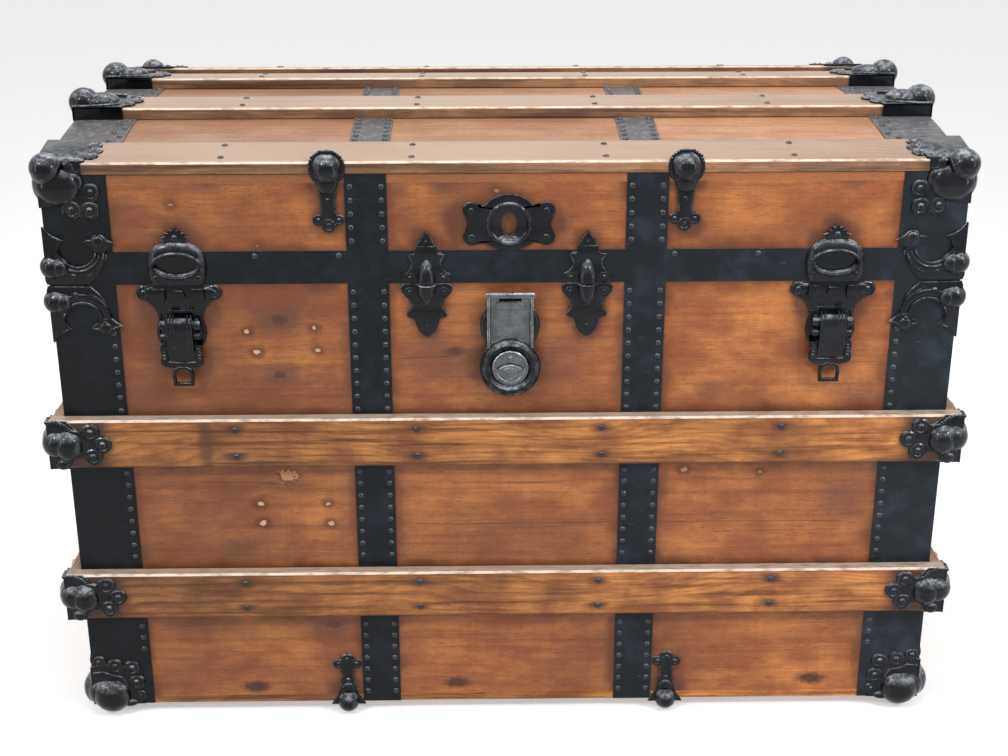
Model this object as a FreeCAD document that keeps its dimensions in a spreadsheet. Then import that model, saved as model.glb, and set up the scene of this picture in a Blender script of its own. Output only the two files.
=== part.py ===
import FreeCAD, Part
import math
import os
import re
import Sketcher

# A slatted trunk with a low domed lid: a pine case bound with sheet-metal bands, hardwood slats,
# cast corner pieces with round bumpers, a hinged lock hasp, two draw latches and two guide dowels.
# The origin is the middle of the footprint on the floor. +X is the trunk's right, +Y its back, +Z up.

SIZES = {
    # pine case
    "case_length": 860,
    "case_depth": 505,
    "runner_height": 12,
    "runner_width": 45,
    "runner_spacing": 200,
    "runner_inset": 20,
    "floor_thickness": 8,
    "board_thickness": 10,
    "seam_height": 217,
    "split_height": 471,
    "lid_edge_height": 576,
    "crown_rise": 24,
    "lid_room": 80,
    "top_thickness": 8,
    "lining_thickness": 0.8,
    "lining_margin": 2,
    # sheet-metal bands
    "sheet_thickness": 0.8,
    "corner_band_width": 61,
    "middle_band_width": 39,
    "middle_band_offset": 131,
    "valance_height": 32,
    "end_flange_depth": 26,
    # slats
    "slat_width": 50,
    "slat_thickness": 13,
    "slat_easing": 2,
    "upper_slat_height": 312.5,
    "lower_slat_height": 145,
    "lid_slat_width": 49,
    "lid_slat_thickness": 11,
    "lid_slat_step": 152,
    # castings
    "casting_thickness": 2.2,
    "lobe_radius": 8,
    "ball_swell": 1.04,
    "slat_ball_radius": 16,
    "slat_ball_inset": 7,
    "slat_flange_reach": 50,
    "slat_lobe_reach": 40,
    "slat_lobe_rise": 12.5,
    "slat_tab_width": 26,
    "corner_ball_radius": 14,
    "corner_ball_height": 584,
    "corner_ball_inset": 7,
    "corner_ball_offset": 3,
    "corner_hood_radius": 16,
    "corner_hood_height": 569,
    "corner_hood_inset": 17,
    "corner_hood_depth": 5,
    "corner_lobe_reach": 45,
    "corner_lobe_near_reach": 28,
    "corner_lobe_high": 560,
    "corner_lobe_low": 541,
    "corner_cap_reach": 52,
    "corner_cap_gap": 0.4,
    "foot_ball_radius": 19,
    "foot_ball_inset": 9,
    "foot_ball_height": 24,
    "foot_lobe_reach": 45,
    "foot_lobe_near_reach": 27,
    "foot_lobe_high": 55,
    "foot_lobe_low": 37,
    "slat_end_ball_radius": 15.5,
    "slat_end_ball_inset": 2,
    "slat_end_cap_reach": 52,
    "slat_end_lobe_radius": 6.5,
    "slat_end_lobe_reach": 58,
    "slat_end_lobe_spread": 12,
    "meeting_ball_radius": 12.5,
    "meeting_ball_inset": 3,
    "meeting_upper_height": 488,
    "meeting_lower_height": 457.5,
    "crescent_inset": 24,
    "crescent_upper_height": 509,
    "crescent_lower_height": 434,
    "crescent_outer_radius": 34,
    "crescent_inner_radius": 22,
    "crescent_tip_radius": 6,
    "crescent_base_width": 13,
    "crescent_gap": 0.6,
    "meeting_tab_reach": 38,
    "clamp_offset": 166,
    "lid_clamp_ball_radius": 13,
    "foot_clamp_ball_radius": 10.5,
    "clamp_collar_radius": 16,
    "clamp_tail_width": 15,
    "clamp_collar_face": 3.2,
    "clamp_tail_length": 54,
    "foot_clamp_length": 50,
    "clamp_ear_radius": 5,
    "clamp_ear_spread": 9.5,
    # lid hinges
    "hinge_offset": 270,
    "hinge_leaf_width": 60,
    "hinge_leaf_height": 45,
    "hinge_leaf_thickness": 2,
    "hinge_axis_offset": 6,
    "hinge_knuckle_radius": 4.5,
    "hinge_knuckle_gap": 0.3,
    "hinge_bore_radius": 2.38,
    "hinge_pin_radius": 2.24,
    "hinge_head_radius": 3.4,
    "hinge_middle_knuckle": 20,
    "hinge_leaf_gap": 5.8,
    "hinge_web_gap": 1,
    "pin_head": 1.5,
    # lock hasp and its bracket
    "lock_sheet": 2,
    "lock_offset": 3,
    "hasp_axis_height": 458.5,
    "hasp_axis_offset": 9,
    "hasp_length": 69.5,
    "hasp_half_width": 23,
    "hasp_face": 1,
    "hasp_back": 2,
    "hasp_rim_width": 3,
    "hasp_rim_face": 3,
    "hasp_boss_radius": 28,
    "hasp_boss_top_radius": 21.5,
    "hasp_boss_face": 5,
    "hasp_bar_radius": 2,
    "hasp_slot_half_width": 13.5,
    "hasp_slot_depth": 6,
    "curl_bore_radius": 2.4,
    "curl_radius": 3.9,
    "curl_half_width": 12.5,
    "curl_strap_gap": 2.6,
    "back_plate_radius": 29,
    "back_plate_bevel": 4,
    "back_plate_face": 5,
    "back_plate_height": 427,
    "back_plate_half_width": 18,
    # lock cylinder and its socket
    "lock_disc_radius": 17,
    "lock_disc_face": 5.5,
    "lock_seat_radius": 17.3,
    "lock_seat_floor": 3,
    "lock_tongue_face": 9,
    "lock_tongue_length": 25,
    "lock_tongue_bend": 20,
    "socket_height": 528,
    "socket_disc_radius": 24.8,
    "socket_lobe_spread": 32.5,
    "socket_lobe_rise": 12.8,
    "socket_ring_radius": 21,
    "socket_ring_face": 3.2,
    "socket_cup_radius": 18,
    "socket_cup_outside": 19.8,
    "socket_cup_depth": 6,
    "socket_cup_floor": 1.2,
    "socket_recess_radius": 20,
    "socket_recess_depth": 7.5,
    "keyway_half_width": 6.5,
    "keyway_half_height": 10,
    # draw latches
    "latch_sheet": 2,
    "latch_offset": 310,
    "latch_axis_height": 433,
    "latch_axis_offset": 9.5,
    "latch_plate_top": 470,
    "latch_plate_height": 62,
    "latch_plate_half_width": 40,
    "latch_lug_near": 13.4,
    "latch_lug_far": 17.4,
    "latch_block_near": 17,
    "latch_block_far": 22.5,
    "latch_block_low": 458,
    "latch_block_high": 469.5,
    "latch_block_face": 6,
    "latch_barrel_radius": 4.5,
    "latch_bore_radius": 2.17,
    "latch_pin_radius": 2.04,
    "latch_head_radius": 3.2,
    "latch_strap_half_width": 13,
    "latch_strap_length": 34,
    "latch_strap_bend": 40,
    "latch_frame_half_width": 19.5,
    "latch_frame_half_thickness": 1.5,
    "latch_frame_bar": 4,
    "latch_frame_top": 24,
    "latch_frame_bottom": 50,
    "latch_window_top": 37,
    "latch_ring_half_width": 10,
    "latch_ring_half_thickness": 1.2,
    "latch_ring_bar": 3,
    "latch_ring_bottom": 68,
    "latch_notch_gap": 0.1,
    "keeper_height": 488,
    "keeper_gap": 0.4,
    "keeper_radius": 27.5,
    "keeper_front_radius": 24,
    "keeper_face": 5.6,
    "keeper_neck_half_width": 9,
    "keeper_tip_height": 521,
    "keeper_tip_radius": 7,
    "keeper_recess_half_width": 20.5,
    "keeper_recess_half_height": 10.5,
    "keeper_recess_floor": 0.6,
    # guide dowels
    "dowel_sheet": 2,
    "dowel_plate_half_width": 23.5,
    "dowel_plate_height": 51.5,
    "dowel_offset": 76,
    "dowel_meeting_gap": 0.4,
    "dowel_acorn_radius": 9,
    "dowel_acorn_length": 23,
    "dowel_axis_offset": 6.2,
    "dowel_pin_radius": 2.6,
    "dowel_pin_low": 463,
    "dowel_pin_high": 480,
    "dowel_bore_radius": 3.2,
    "dowel_bore_low": 461,
    # leather handles
    "handle_height": 400,
    "handle_strap_width": 28,
    "handle_strap_thickness": 6,
    "handle_bow": 28,
    "handle_half_span": 86,
    "handle_end_reach": 104,
    "handle_plate_thickness": 2,
    "handle_plate_half_width": 24,
    "handle_plate_inner": 6,
    "handle_plate_outer": 22,
    "handle_hood_height": 9.5,
    "handle_hood_radius": 17,
    "handle_hood_margin": 2,
}

HALF_LENGTH = "(case_length/2)"
HALF_DEPTH = "(case_depth/2)"
FLOOR_TOP = "(runner_height + floor_thickness)"
BAND_LENGTH = "(case_length/2 + sheet_thickness)"
BAND_DEPTH = "(case_depth/2 + sheet_thickness)"
SLAT_END = "(case_length/2 + sheet_thickness + slat_thickness)"
SLAT_FACE = "(case_depth/2 + sheet_thickness + slat_thickness)"
VALANCE_TOP = "(split_height + valance_height)"
LID_LAYER = "(sheet_thickness + lid_slat_thickness)"
DOME_RADIUS = "((case_depth^2/4 + crown_rise^2)/(2*crown_rise))"
DOME_CENTRE = f"(lid_edge_height + crown_rise - {DOME_RADIUS})"
WALL = f"(-{HALF_DEPTH})"
FAR = 1000

DOC = FreeCAD.newDocument("Trunk")
SHEET = DOC.addObject("Spreadsheet::Sheet", "Sizes")
NODES = []
V = FreeCAD.Vector
TURN = {
    "x": FreeCAD.Rotation(V(0, 1, 0), 90),
    "y": FreeCAD.Rotation(V(1, 0, 0), -90),
    "z": FreeCAD.Rotation(),
}


# ---------------------------------------------------------------- the sheet and bound objects

def fill_sheet():
    for row, (alias, size) in enumerate(SIZES.items(), 1):
        SHEET.set(f"A{row}", alias)
        SHEET.set(f"B{row}", str(size))
        SHEET.setAlias(f"B{row}", alias)
    DOC.recompute()


def formula(text):
    """A size formula with each sheet alias written the way an expression names it."""
    return re.sub(r"\b[a-z]+(?:_[a-z]+)+\b", r"Sizes.\g<0>", str(text))


def value(text):
    return float(SHEET.evalExpression(formula(text)))


def bind(item, prop, text):
    item.setExpression(prop, formula(text))


def place(item, corner, turn="z"):
    item.Placement = FreeCAD.Placement(V(), TURN[turn])
    for axis, text in zip("xyz", corner):
        bind(item, f"Placement.Base.{axis}", text)


def node(label, *pieces):
    """Names a sub-part. Several separate solids of one kind are held in a compound."""
    if len(pieces) == 1:
        item = pieces[0]
    else:
        item = DOC.addObject("Part::Compound", label)
        item.Links = list(pieces)
    item.Label = label
    NODES.append(item)
    return item


# ---------------------------------------------------------------- primitives and booleans

def box(name, x, y, z):
    """A box from three spans, each a pair (low, high)."""
    item = DOC.addObject("Part::Box", name)
    for prop, (low, high) in zip(("Length", "Width", "Height"), (x, y, z)):
        bind(item, prop, f"({high}) - ({low})")
    place(item, (x[0], y[0], z[0]))
    return item


def stand(item, axis, span, centre):
    """Stands an item on a span along an axis; centre holds the other two coordinates in order."""
    bind(item, "Height", f"({span[1]}) - ({span[0]})")
    corner = list(centre)
    corner.insert("xyz".index(axis), span[0])
    place(item, corner, axis)
    return item


def rod(name, axis, radius, span, centre):
    item = DOC.addObject("Part::Cylinder", name)
    bind(item, "Radius", radius)
    return stand(item, axis, span, centre)


def prism(name, axis, sides, radius, span, centre):
    """A many-sided rod, for small round forms that repeat."""
    item = DOC.addObject("Part::Prism", name)
    item.Polygon = sides
    bind(item, "Circumradius", radius)
    return stand(item, axis, span, centre)


def faceted(name, axis, sides, rings, centre):
    """A turned form of flat facets through rings of (radius, reach) along an axis from its centre.
    It is built face by face, because a loft would make each facet a spline surface."""
    levels = []
    for radius, reach in rings:
        spokes = (math.radians(360 / sides * count) for count in range(sides))
        size, height = value(radius), value(reach)
        levels.append([V(size * math.cos(spoke), size * math.sin(spoke), height) for spoke in spokes])
    outlines = [levels[0], levels[-1]]
    for lower, upper in zip(levels, levels[1:]):
        for count in range(sides):
            outlines.append([lower[count - 1], lower[count], upper[count], upper[count - 1]])
    shell = Part.makeShell([Part.Face(Part.makePolygon([*points, points[0]])) for points in outlines])
    shell.sewShape()
    item = DOC.addObject("Part::Feature", name)
    item.Shape = Part.makeSolid(shell)
    place(item, centre, axis)
    return item


def ball(name, radius, centre):
    """A cast ball in twenty-six facets that meet a little outside its radius."""
    rings = []
    for latitude in (-67.5, -22.5, 22.5, 67.5):
        rings.append((f"{radius}*ball_swell*cos({latitude})", f"{radius}*ball_swell*sin({latitude})"))
    return faceted(name, "z", 8, rings, centre)


def oval(name, half_width, half_height, span, centre):
    """An upright elliptical prism along Y."""
    curve = DOC.addObject("Part::Ellipse", f"{name}_curve")
    upright = FreeCAD.Rotation(V(1, 0, 0), -90)
    long_way, short_way = half_width, half_height
    if value(half_height) > value(half_width):
        long_way, short_way = half_height, half_width
        upright = upright * FreeCAD.Rotation(V(0, 0, 1), 90)
    bind(curve, "MajorRadius", long_way)
    bind(curve, "MinorRadius", short_way)
    curve.Placement = FreeCAD.Placement(V(), upright)
    for axis, text in zip("xyz", (centre[0], span[0], centre[1])):
        bind(curve, f"Placement.Base.{axis}", text)
    item = DOC.addObject("Part::Extrusion", name)
    item.Base = curve
    item.DirMode = "Custom"
    item.Dir = V(0, 1, 0)
    bind(item, "LengthFwd", f"({span[1]}) - ({span[0]})")
    item.Solid = True
    return item


def fuse(name, *pieces):
    item = DOC.addObject("Part::MultiFuse", name)
    item.Shapes = list(pieces)
    item.Refine = True
    return item


def cut(name, base, *tools):
    for number, tool in enumerate(tools, 1):
        item = DOC.addObject("Part::Cut", f"{name}_{number}")
        item.Base = base
        item.Tool = tool
        item.Refine = True
        base = item
    return base


def common(name, first, second):
    item = DOC.addObject("Part::Common", name)
    item.Base = first
    item.Tool = second
    item.Refine = True
    return item


def mirrored(source, axis):
    item = DOC.addObject("Part::Mirroring", f"{source.Name}_mirror_{axis}")
    item.Source = source
    item.Normal = V(*(1 if letter == axis else 0 for letter in "xyz"))
    return item


def both_ends(source):
    return source, mirrored(source, "x")


def four_corners(source):
    back = mirrored(source, "y")
    return source, mirrored(source, "x"), back, mirrored(back, "x")


def under_dome(name, item, offset="0"):
    """What lies below the dome surface raised by an offset."""
    barrel = rod(f"{name}_barrel", "x", f"{DOME_RADIUS} + {offset}", (-FAR, FAR), (0, DOME_CENTRE))
    return common(name, item, barrel)


def dome_layer(name, x, y, low, high):
    """A curved layer over the dome between two offsets from its surface, within X and Y spans."""
    block = box(f"{name}_block", x, y, ("lid_edge_height - lid_room", "lid_edge_height + lid_room"))
    below = rod(f"{name}_below", "x", f"{DOME_RADIUS} + {low}", (-FAR, FAR), (0, DOME_CENTRE))
    return cut(name, under_dome(f"{name}_top", block, high), below)


def dome_height(y, offset):
    """The height of the dome surface, raised by an offset, at a distance from the middle."""
    return f"({DOME_CENTRE} + sqrt(({DOME_RADIUS} + {offset})^2 - ({y})^2))"


# ---------------------------------------------------------------- sketched outlines

PLANES = {"z": "XY_Plane", "y": "XZ_Plane", "x": "YZ_Plane"}


def draw_edge(sketch, start, end, bend):
    """Adds a line or, with a bend radius, an arc that turns left (+) or right (-)."""
    if not bend:
        return sketch.addGeometry(Part.LineSegment(start, end), False), 1, 2
    chord = end - start
    left = V(-chord.y, chord.x, 0).normalize()
    rise = abs(bend) - max(bend * bend - chord.Length ** 2 / 4, 0) ** 0.5
    middle = (start + end) / 2 - left * rise * (1 if bend > 0 else -1)
    if bend > 0:
        return sketch.addGeometry(Part.Arc(start, middle, end), False), 1, 2
    return sketch.addGeometry(Part.Arc(end, middle, start), False), 2, 1


def pin_point(sketch, edge, end, point, texts):
    """Fixes a point of the sketch at two formulas; a zero is a point on the sketch's axis."""
    for kind, number, text, axis in zip(("DistanceX", "DistanceY"), point, texts, (-2, -1)):
        if abs(number) < 1e-9:
            sketch.addConstraint(Sketcher.Constraint("PointOnObject", edge, end, axis))
            continue
        index = sketch.addConstraint(Sketcher.Constraint(kind, -1, 1, edge, end, number))
        bind(sketch, f"Constraints[{index}]", text)


def outline(body, name, axis, offset, corners):
    """A closed sketch across an axis. A corner is (u, v) or (u, v, bend), with formulas for each;
    the bend is the radius of the arc that leads to the next corner."""
    sketch = body.newObject("Sketcher::SketchObject", name)
    plane = next(part for part in body.Origin.OriginFeatures if part.Role == PLANES[axis])
    sketch.AttachmentSupport = [(plane, "")]
    sketch.MapMode = "FlatFace"
    bind(sketch, "AttachmentOffset.Base.z", offset)
    points = [V(value(corner[0]), value(corner[1]), 0) for corner in corners]
    ends = []
    for index, corner in enumerate(corners):
        bend = value(corner[2]) if len(corner) > 2 else 0
        after = points[(index + 1) % len(points)]
        edge, first, last = draw_edge(sketch, points[index], after, bend)
        pin_point(sketch, edge, first, (points[index].x, points[index].y), corner[:2])
        if bend:
            radius = sketch.addConstraint(Sketcher.Constraint("Radius", edge, abs(bend)))
            bind(sketch, f"Constraints[{radius}]", f"abs({corner[2]})")
        ends.append((edge, first, last))
    for index, (edge, _, last) in enumerate(ends):
        after, first, _ = ends[(index + 1) % len(ends)]
        sketch.addConstraint(Sketcher.Constraint("Coincident", edge, last, after, first))
    return sketch


def padded(name, axis, span, corners):
    """A body padded from an outline over a span along its axis."""
    body = DOC.addObject("PartDesign::Body", name)
    low, high = span
    offset = f"-({high})" if axis == "y" else low
    sketch = outline(body, f"{name}_outline", axis, offset, corners)
    pad = body.newObject("PartDesign::Pad", f"{name}_pad")
    pad.Profile = sketch
    bind(pad, "Length", f"({high}) - ({low})")
    return body


# ---------------------------------------------------------------- wooden case

def mirror_span(text):
    return (f"-({text})", text)


def make_case():
    across = mirror_span(HALF_LENGTH)
    inner = mirror_span(f"{HALF_DEPTH} - board_thickness")
    front = (f"-{HALF_DEPTH}", f"-{HALF_DEPTH} + board_thickness")
    left = (f"-{HALF_LENGTH}", f"-{HALF_LENGTH} + board_thickness")
    lower = (FLOOR_TOP, "seam_height")
    upper = ("seam_height", "split_height")
    runner_x = mirror_span(f"{HALF_LENGTH} - runner_inset")
    runners = []
    for place_y in ("-runner_spacing", "0", "runner_spacing"):
        y = (f"{place_y} - runner_width/2", f"{place_y} + runner_width/2")
        runners.append(box("runner", runner_x, y, (0, "runner_height")))
    node("bottom_runners", *runners)
    node("bottom_board", box("floor", across, mirror_span(HALF_DEPTH), ("runner_height", FLOOR_TOP)))
    lower_front = node("lower_front_board", box("lower_front", across, front, lower))
    upper_front = node("upper_front_board", box("upper_front", across, front, upper))
    node("back_boards", mirrored(lower_front, "y"), mirrored(upper_front, "y"))
    ends = [box("end_board", left, inner, span) for span in (lower, upper)]
    node("left_end_boards", *ends)
    node("right_end_boards", *(mirrored(board, "x") for board in ends))
    walls = box(
        "lining_outside", mirror_span(f"{HALF_LENGTH} - board_thickness"), inner,
        (FLOOR_TOP, "split_height - lining_margin"))
    hollow = box(
        "lining_inside", mirror_span(f"{HALF_LENGTH} - board_thickness - lining_thickness"),
        mirror_span(f"{HALF_DEPTH} - board_thickness - lining_thickness"),
        (f"{FLOOR_TOP} + lining_thickness", "split_height + 1"))
    node("body_lining", cut("body_lining_shell", walls, hollow))


def make_lid():
    across = mirror_span(HALF_LENGTH)
    inner = mirror_span(f"{HALF_DEPTH} - board_thickness")
    back = (f"{HALF_DEPTH} - board_thickness", HALF_DEPTH)
    right = (f"{HALF_LENGTH} - board_thickness", HALF_LENGTH)
    tall = ("split_height", "lid_edge_height + lid_room")
    back_board = under_dome("lid_back", box("lid_back_block", across, back, tall), "-top_thickness")
    recess = rod(
        "lock_recess", "y", "socket_recess_radius",
        (f"-{HALF_DEPTH} - 1", f"-{HALF_DEPTH} + socket_recess_depth"), ("lock_offset", "socket_height"))
    node("lid_front_board", cut("lid_front", mirrored(back_board, "y"), recess))
    node("lid_back_board", back_board)
    end = under_dome("lid_end", box("lid_end_block", right, inner, tall), "-top_thickness")
    node("lid_right_end", end)
    node("lid_left_end", mirrored(end, "x"))
    seam = "(lid_slat_step/2)"
    rows = ((f"-{HALF_DEPTH}", f"-{seam}"), (f"-{seam}", seam), (seam, HALF_DEPTH))
    tops = [
        dome_layer(f"top_board_{count}", across, row, "-top_thickness", 0) for count, row in enumerate(rows)]
    node("lid_top_boards", *tops)
    lined = box(
        "lid_lining_outside", mirror_span(f"{HALF_LENGTH} - board_thickness"), inner,
        ("split_height + lining_margin", "lid_edge_height + lid_room"))
    hollow = box(
        "lid_lining_inside", mirror_span(f"{HALF_LENGTH} - board_thickness - lining_thickness"),
        mirror_span(f"{HALF_DEPTH} - board_thickness - lining_thickness"),
        ("split_height", "lid_edge_height + lid_room"))
    shell = under_dome("lid_lining_solid", lined, "-top_thickness")
    space = under_dome("lid_lining_space", hollow, "-top_thickness - lining_thickness")
    node("lid_lining", cut("lid_lining_shell", shell, space))


# ---------------------------------------------------------------- bands

def corner_strip(name, z):
    """An angle of sheet metal that wraps one upright corner."""
    near_x = f"{HALF_LENGTH} - corner_band_width"
    near_y = f"{HALF_DEPTH} - corner_band_width"
    return padded(name, "z", z, [
        (near_x, HALF_DEPTH), (HALF_LENGTH, HALF_DEPTH), (HALF_LENGTH, near_y),
        (BAND_LENGTH, near_y), (BAND_LENGTH, BAND_DEPTH), (near_x, BAND_DEPTH)])


def make_bands():
    wall = ("runner_height", "split_height")
    node("body_corner_bands", *four_corners(corner_strip("corner_band", wall)))
    middle = ("middle_band_offset - middle_band_width/2", "middle_band_offset + middle_band_width/2")
    skin = (HALF_DEPTH, BAND_DEPTH)
    node("body_middle_bands", *four_corners(box("middle_band", middle, skin, wall)))
    ring = box(
        "valance_outside", mirror_span(BAND_LENGTH), mirror_span(BAND_DEPTH), ("split_height", VALANCE_TOP))
    hole = box("valance_inside", mirror_span(HALF_LENGTH), mirror_span(HALF_DEPTH), (0, FAR))
    node("valance_band", cut("valance", ring, hole))
    strip = box(
        "lid_corner_face", (f"{HALF_LENGTH} - corner_band_width", BAND_LENGTH), skin,
        (VALANCE_TOP, "lid_edge_height"))
    side = box(
        "lid_corner_side", (HALF_LENGTH, BAND_LENGTH), (f"{HALF_DEPTH} - corner_band_width", BAND_DEPTH),
        (VALANCE_TOP, "lid_edge_height + lid_room"))
    trimmed = under_dome("lid_corner_side_trimmed", side, "-end_flange_depth")
    node("lid_corner_bands", *four_corners(fuse("lid_corner_band", strip, trimmed)))
    over = dome_layer(
        "end_band_top", (f"{HALF_LENGTH} - corner_band_width", BAND_LENGTH), mirror_span(HALF_DEPTH),
        0, "sheet_thickness")
    flange = dome_layer(
        "end_band_flange", (HALF_LENGTH, BAND_LENGTH), mirror_span(HALF_DEPTH),
        "-end_flange_depth", "sheet_thickness")
    node("lid_end_bands", *both_ends(fuse("lid_end_band", over, flange)))
    arch = dome_layer("middle_arch", middle, mirror_span(BAND_DEPTH), 0, "sheet_thickness")
    front = box("middle_leg", middle, skin, (VALANCE_TOP, "lid_edge_height"))
    hoop = fuse("lid_middle_band", arch, front, mirrored(front, "y"))
    node("lid_middle_bands", *both_ends(hoop))


# ---------------------------------------------------------------- slats

def slat_section(inner, outer, height, side):
    """A slat's cross-section from inner to outer with its outer corners eased; side is where it faces."""
    low = f"({height} - slat_width/2)"
    high = f"({height} + slat_width/2)"
    shoulder = f"{outer} - slat_easing" if side == "+" else f"{outer} + slat_easing"
    return [
        (inner, low), (shoulder, low), (outer, f"{low} + slat_easing"),
        (outer, f"{high} - slat_easing"), (shoulder, high), (inner, high)]


def make_slats():
    fronts = []
    sides = []
    for height in ("upper_slat_height", "lower_slat_height"):
        section = slat_section(f"-{BAND_DEPTH}", f"-{SLAT_FACE}", height, "-")
        fronts.append(padded(f"front_{height}", "x", mirror_span(SLAT_END), section))
        section = slat_section(BAND_LENGTH, SLAT_END, height, "+")
        sides.append(padded(f"side_{height}", "y", mirror_span(BAND_DEPTH), section))
    node("front_slats", *fronts)
    node("back_slats", *(mirrored(slat, "y") for slat in fronts))
    node("end_slats", *sides, *(mirrored(slat, "x") for slat in sides))
    lid_slats = []
    for count in range(4):
        start = f"-{HALF_DEPTH} + {count}*lid_slat_step"
        lid_slats.append(dome_layer(
            f"lid_slat_{count}", mirror_span(BAND_LENGTH), (start, f"{start} + lid_slat_width"),
            "sheet_thickness", LID_LAYER))
    node("lid_slats", *lid_slats)


# ---------------------------------------------------------------- castings

def face_lobe(name, axis, along, height, face, radius="lobe_radius"):
    """A lobe of a casting's flange on a face across Y or X; face is the surface it lies on."""
    span = (face, f"{face} + casting_thickness")
    return prism(name, axis, 6, radius, span, (along, height))


def slat_corner_casting(height):
    """The cap where a front slat meets an end slat: a ball on two tabs that end in three lobes."""
    name = f"slat_corner_{height}"
    half_tab = "slat_tab_width/2"
    z = (f"{height} - {half_tab}", f"{height} + {half_tab}")
    out_x = (SLAT_END, f"{SLAT_END} + casting_thickness")
    out_y = (SLAT_FACE, f"{SLAT_FACE} + casting_thickness")
    pieces = [
        box(f"{name}_tab", (f"{SLAT_END} - slat_flange_reach", out_x[1]), out_y, z),
        box(f"{name}_side_tab", out_x, (f"{SLAT_FACE} - slat_flange_reach", out_y[1]), z),
        ball(f"{name}_ball", "slat_ball_radius",
             (f"{SLAT_END} - slat_ball_inset", f"{SLAT_FACE} - slat_ball_inset", height)),
        face_lobe(f"{name}_lobe", "y", f"{SLAT_END} - slat_flange_reach", height, SLAT_FACE),
        face_lobe(f"{name}_side_lobe", "x", f"{SLAT_FACE} - slat_flange_reach", height, SLAT_END)]
    for count, sign in enumerate("+-"):
        rise = f"{height} {sign} slat_lobe_rise"
        pieces.append(
            face_lobe(f"{name}_ear_{count}", "y", f"{SLAT_END} - slat_lobe_reach", rise, SLAT_FACE))
        pieces.append(
            face_lobe(f"{name}_side_ear_{count}", "x", f"{SLAT_FACE} - slat_lobe_reach", rise, SLAT_END))
    wood = box(f"{name}_wood", (0, SLAT_END), (0, SLAT_FACE), (0, "split_height"))
    return cut(f"{name}_casting", fuse(name, *pieces), wood)


def bottom_corner_casting():
    """The foot corner: a large ball on two flanges with three lobes each."""
    z = ("runner_height", "foot_lobe_high")
    out_x = (BAND_LENGTH, f"{BAND_LENGTH} + casting_thickness")
    out_y = (BAND_DEPTH, f"{BAND_DEPTH} + casting_thickness")
    pieces = [
        box("foot_face", (f"{HALF_LENGTH} - foot_lobe_reach", out_x[1]), out_y, z),
        box("foot_side", out_x, (f"{HALF_DEPTH} - foot_lobe_reach", out_y[1]), z),
        ball("foot_ball", "foot_ball_radius",
             (f"{HALF_LENGTH} - foot_ball_inset", f"{HALF_DEPTH} - foot_ball_inset", "foot_ball_height"))]
    spots = (("foot_lobe_reach", "foot_lobe_high"), ("foot_lobe_near_reach", "foot_lobe_high"),
             ("foot_lobe_reach", "foot_lobe_low"))
    for count, (reach, height) in enumerate(spots):
        pieces.append(face_lobe(f"foot_lobe_{count}", "y", f"{HALF_LENGTH} - {reach}", height, BAND_DEPTH))
        pieces.append(
            face_lobe(f"foot_side_lobe_{count}", "x", f"{HALF_DEPTH} - {reach}", height, BAND_LENGTH))
    wood = box("foot_wood", (0, BAND_LENGTH), (0, BAND_DEPTH), ("runner_height", "split_height"))
    return cut("foot_casting", fuse("foot", *pieces), wood)


def lid_corner_casting():
    """The lid corner: a ball on a rounded hood, with flanges on the face, the end and the top slat."""
    reach_x = f"{HALF_LENGTH} - corner_lobe_reach"
    reach_y = f"{HALF_DEPTH} - corner_lobe_reach"
    out_x = (BAND_LENGTH, f"{BAND_LENGTH} + casting_thickness")
    out_y = (BAND_DEPTH, f"{BAND_DEPTH} + casting_thickness")
    hood_x = f"{HALF_LENGTH} - corner_hood_inset"
    hood_y = f"{HALF_DEPTH} - corner_hood_depth"
    cap_x = (f"{HALF_LENGTH} - corner_cap_reach", out_x[1])
    cap_y = (f"{HALF_DEPTH} - lid_slat_width", out_y[1])
    z = ("corner_lobe_low", "lid_edge_height")
    pieces = [
        box("lid_corner_tab", (reach_x, out_x[1]), out_y, z),
        box("lid_corner_side_tab", out_x, (reach_y, out_y[1]), z),
        dome_layer(
            "lid_corner_cap", cap_x, cap_y, "sheet_thickness + corner_cap_gap",
            f"{LID_LAYER} + casting_thickness"),
        ball("lid_corner_hood", "corner_hood_radius", (hood_x, hood_y, "corner_hood_height")),
        ball("lid_corner_ball", "corner_ball_radius",
             (f"{HALF_LENGTH} - corner_ball_inset", f"{HALF_DEPTH} + corner_ball_offset",
              "corner_ball_height"))]
    spots = (("corner_lobe_reach", "corner_lobe_high"), ("corner_lobe_reach", "corner_lobe_low"),
             ("corner_lobe_near_reach", "corner_lobe_low"))
    for count, (reach, height) in enumerate(spots):
        pieces.append(
            face_lobe(f"lid_corner_lobe_{count}", "y", f"{HALF_LENGTH} - {reach}", height, BAND_DEPTH))
        pieces.append(
            face_lobe(f"lid_corner_side_lobe_{count}", "x", f"{HALF_DEPTH} - {reach}", height, BAND_LENGTH))
    box_room = box("lid_corner_room", (0, BAND_LENGTH), (0, BAND_DEPTH), ("split_height", FAR))
    slat_room = box("lid_corner_slat_room", (0, BAND_LENGTH), (0, HALF_DEPTH), ("split_height", FAR))
    return cut(
        "lid_corner_casting", fuse("lid_corner", *pieces),
        under_dome("lid_corner_wood", box_room, "sheet_thickness"),
        under_dome("lid_corner_slat", slat_room, LID_LAYER))


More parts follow.
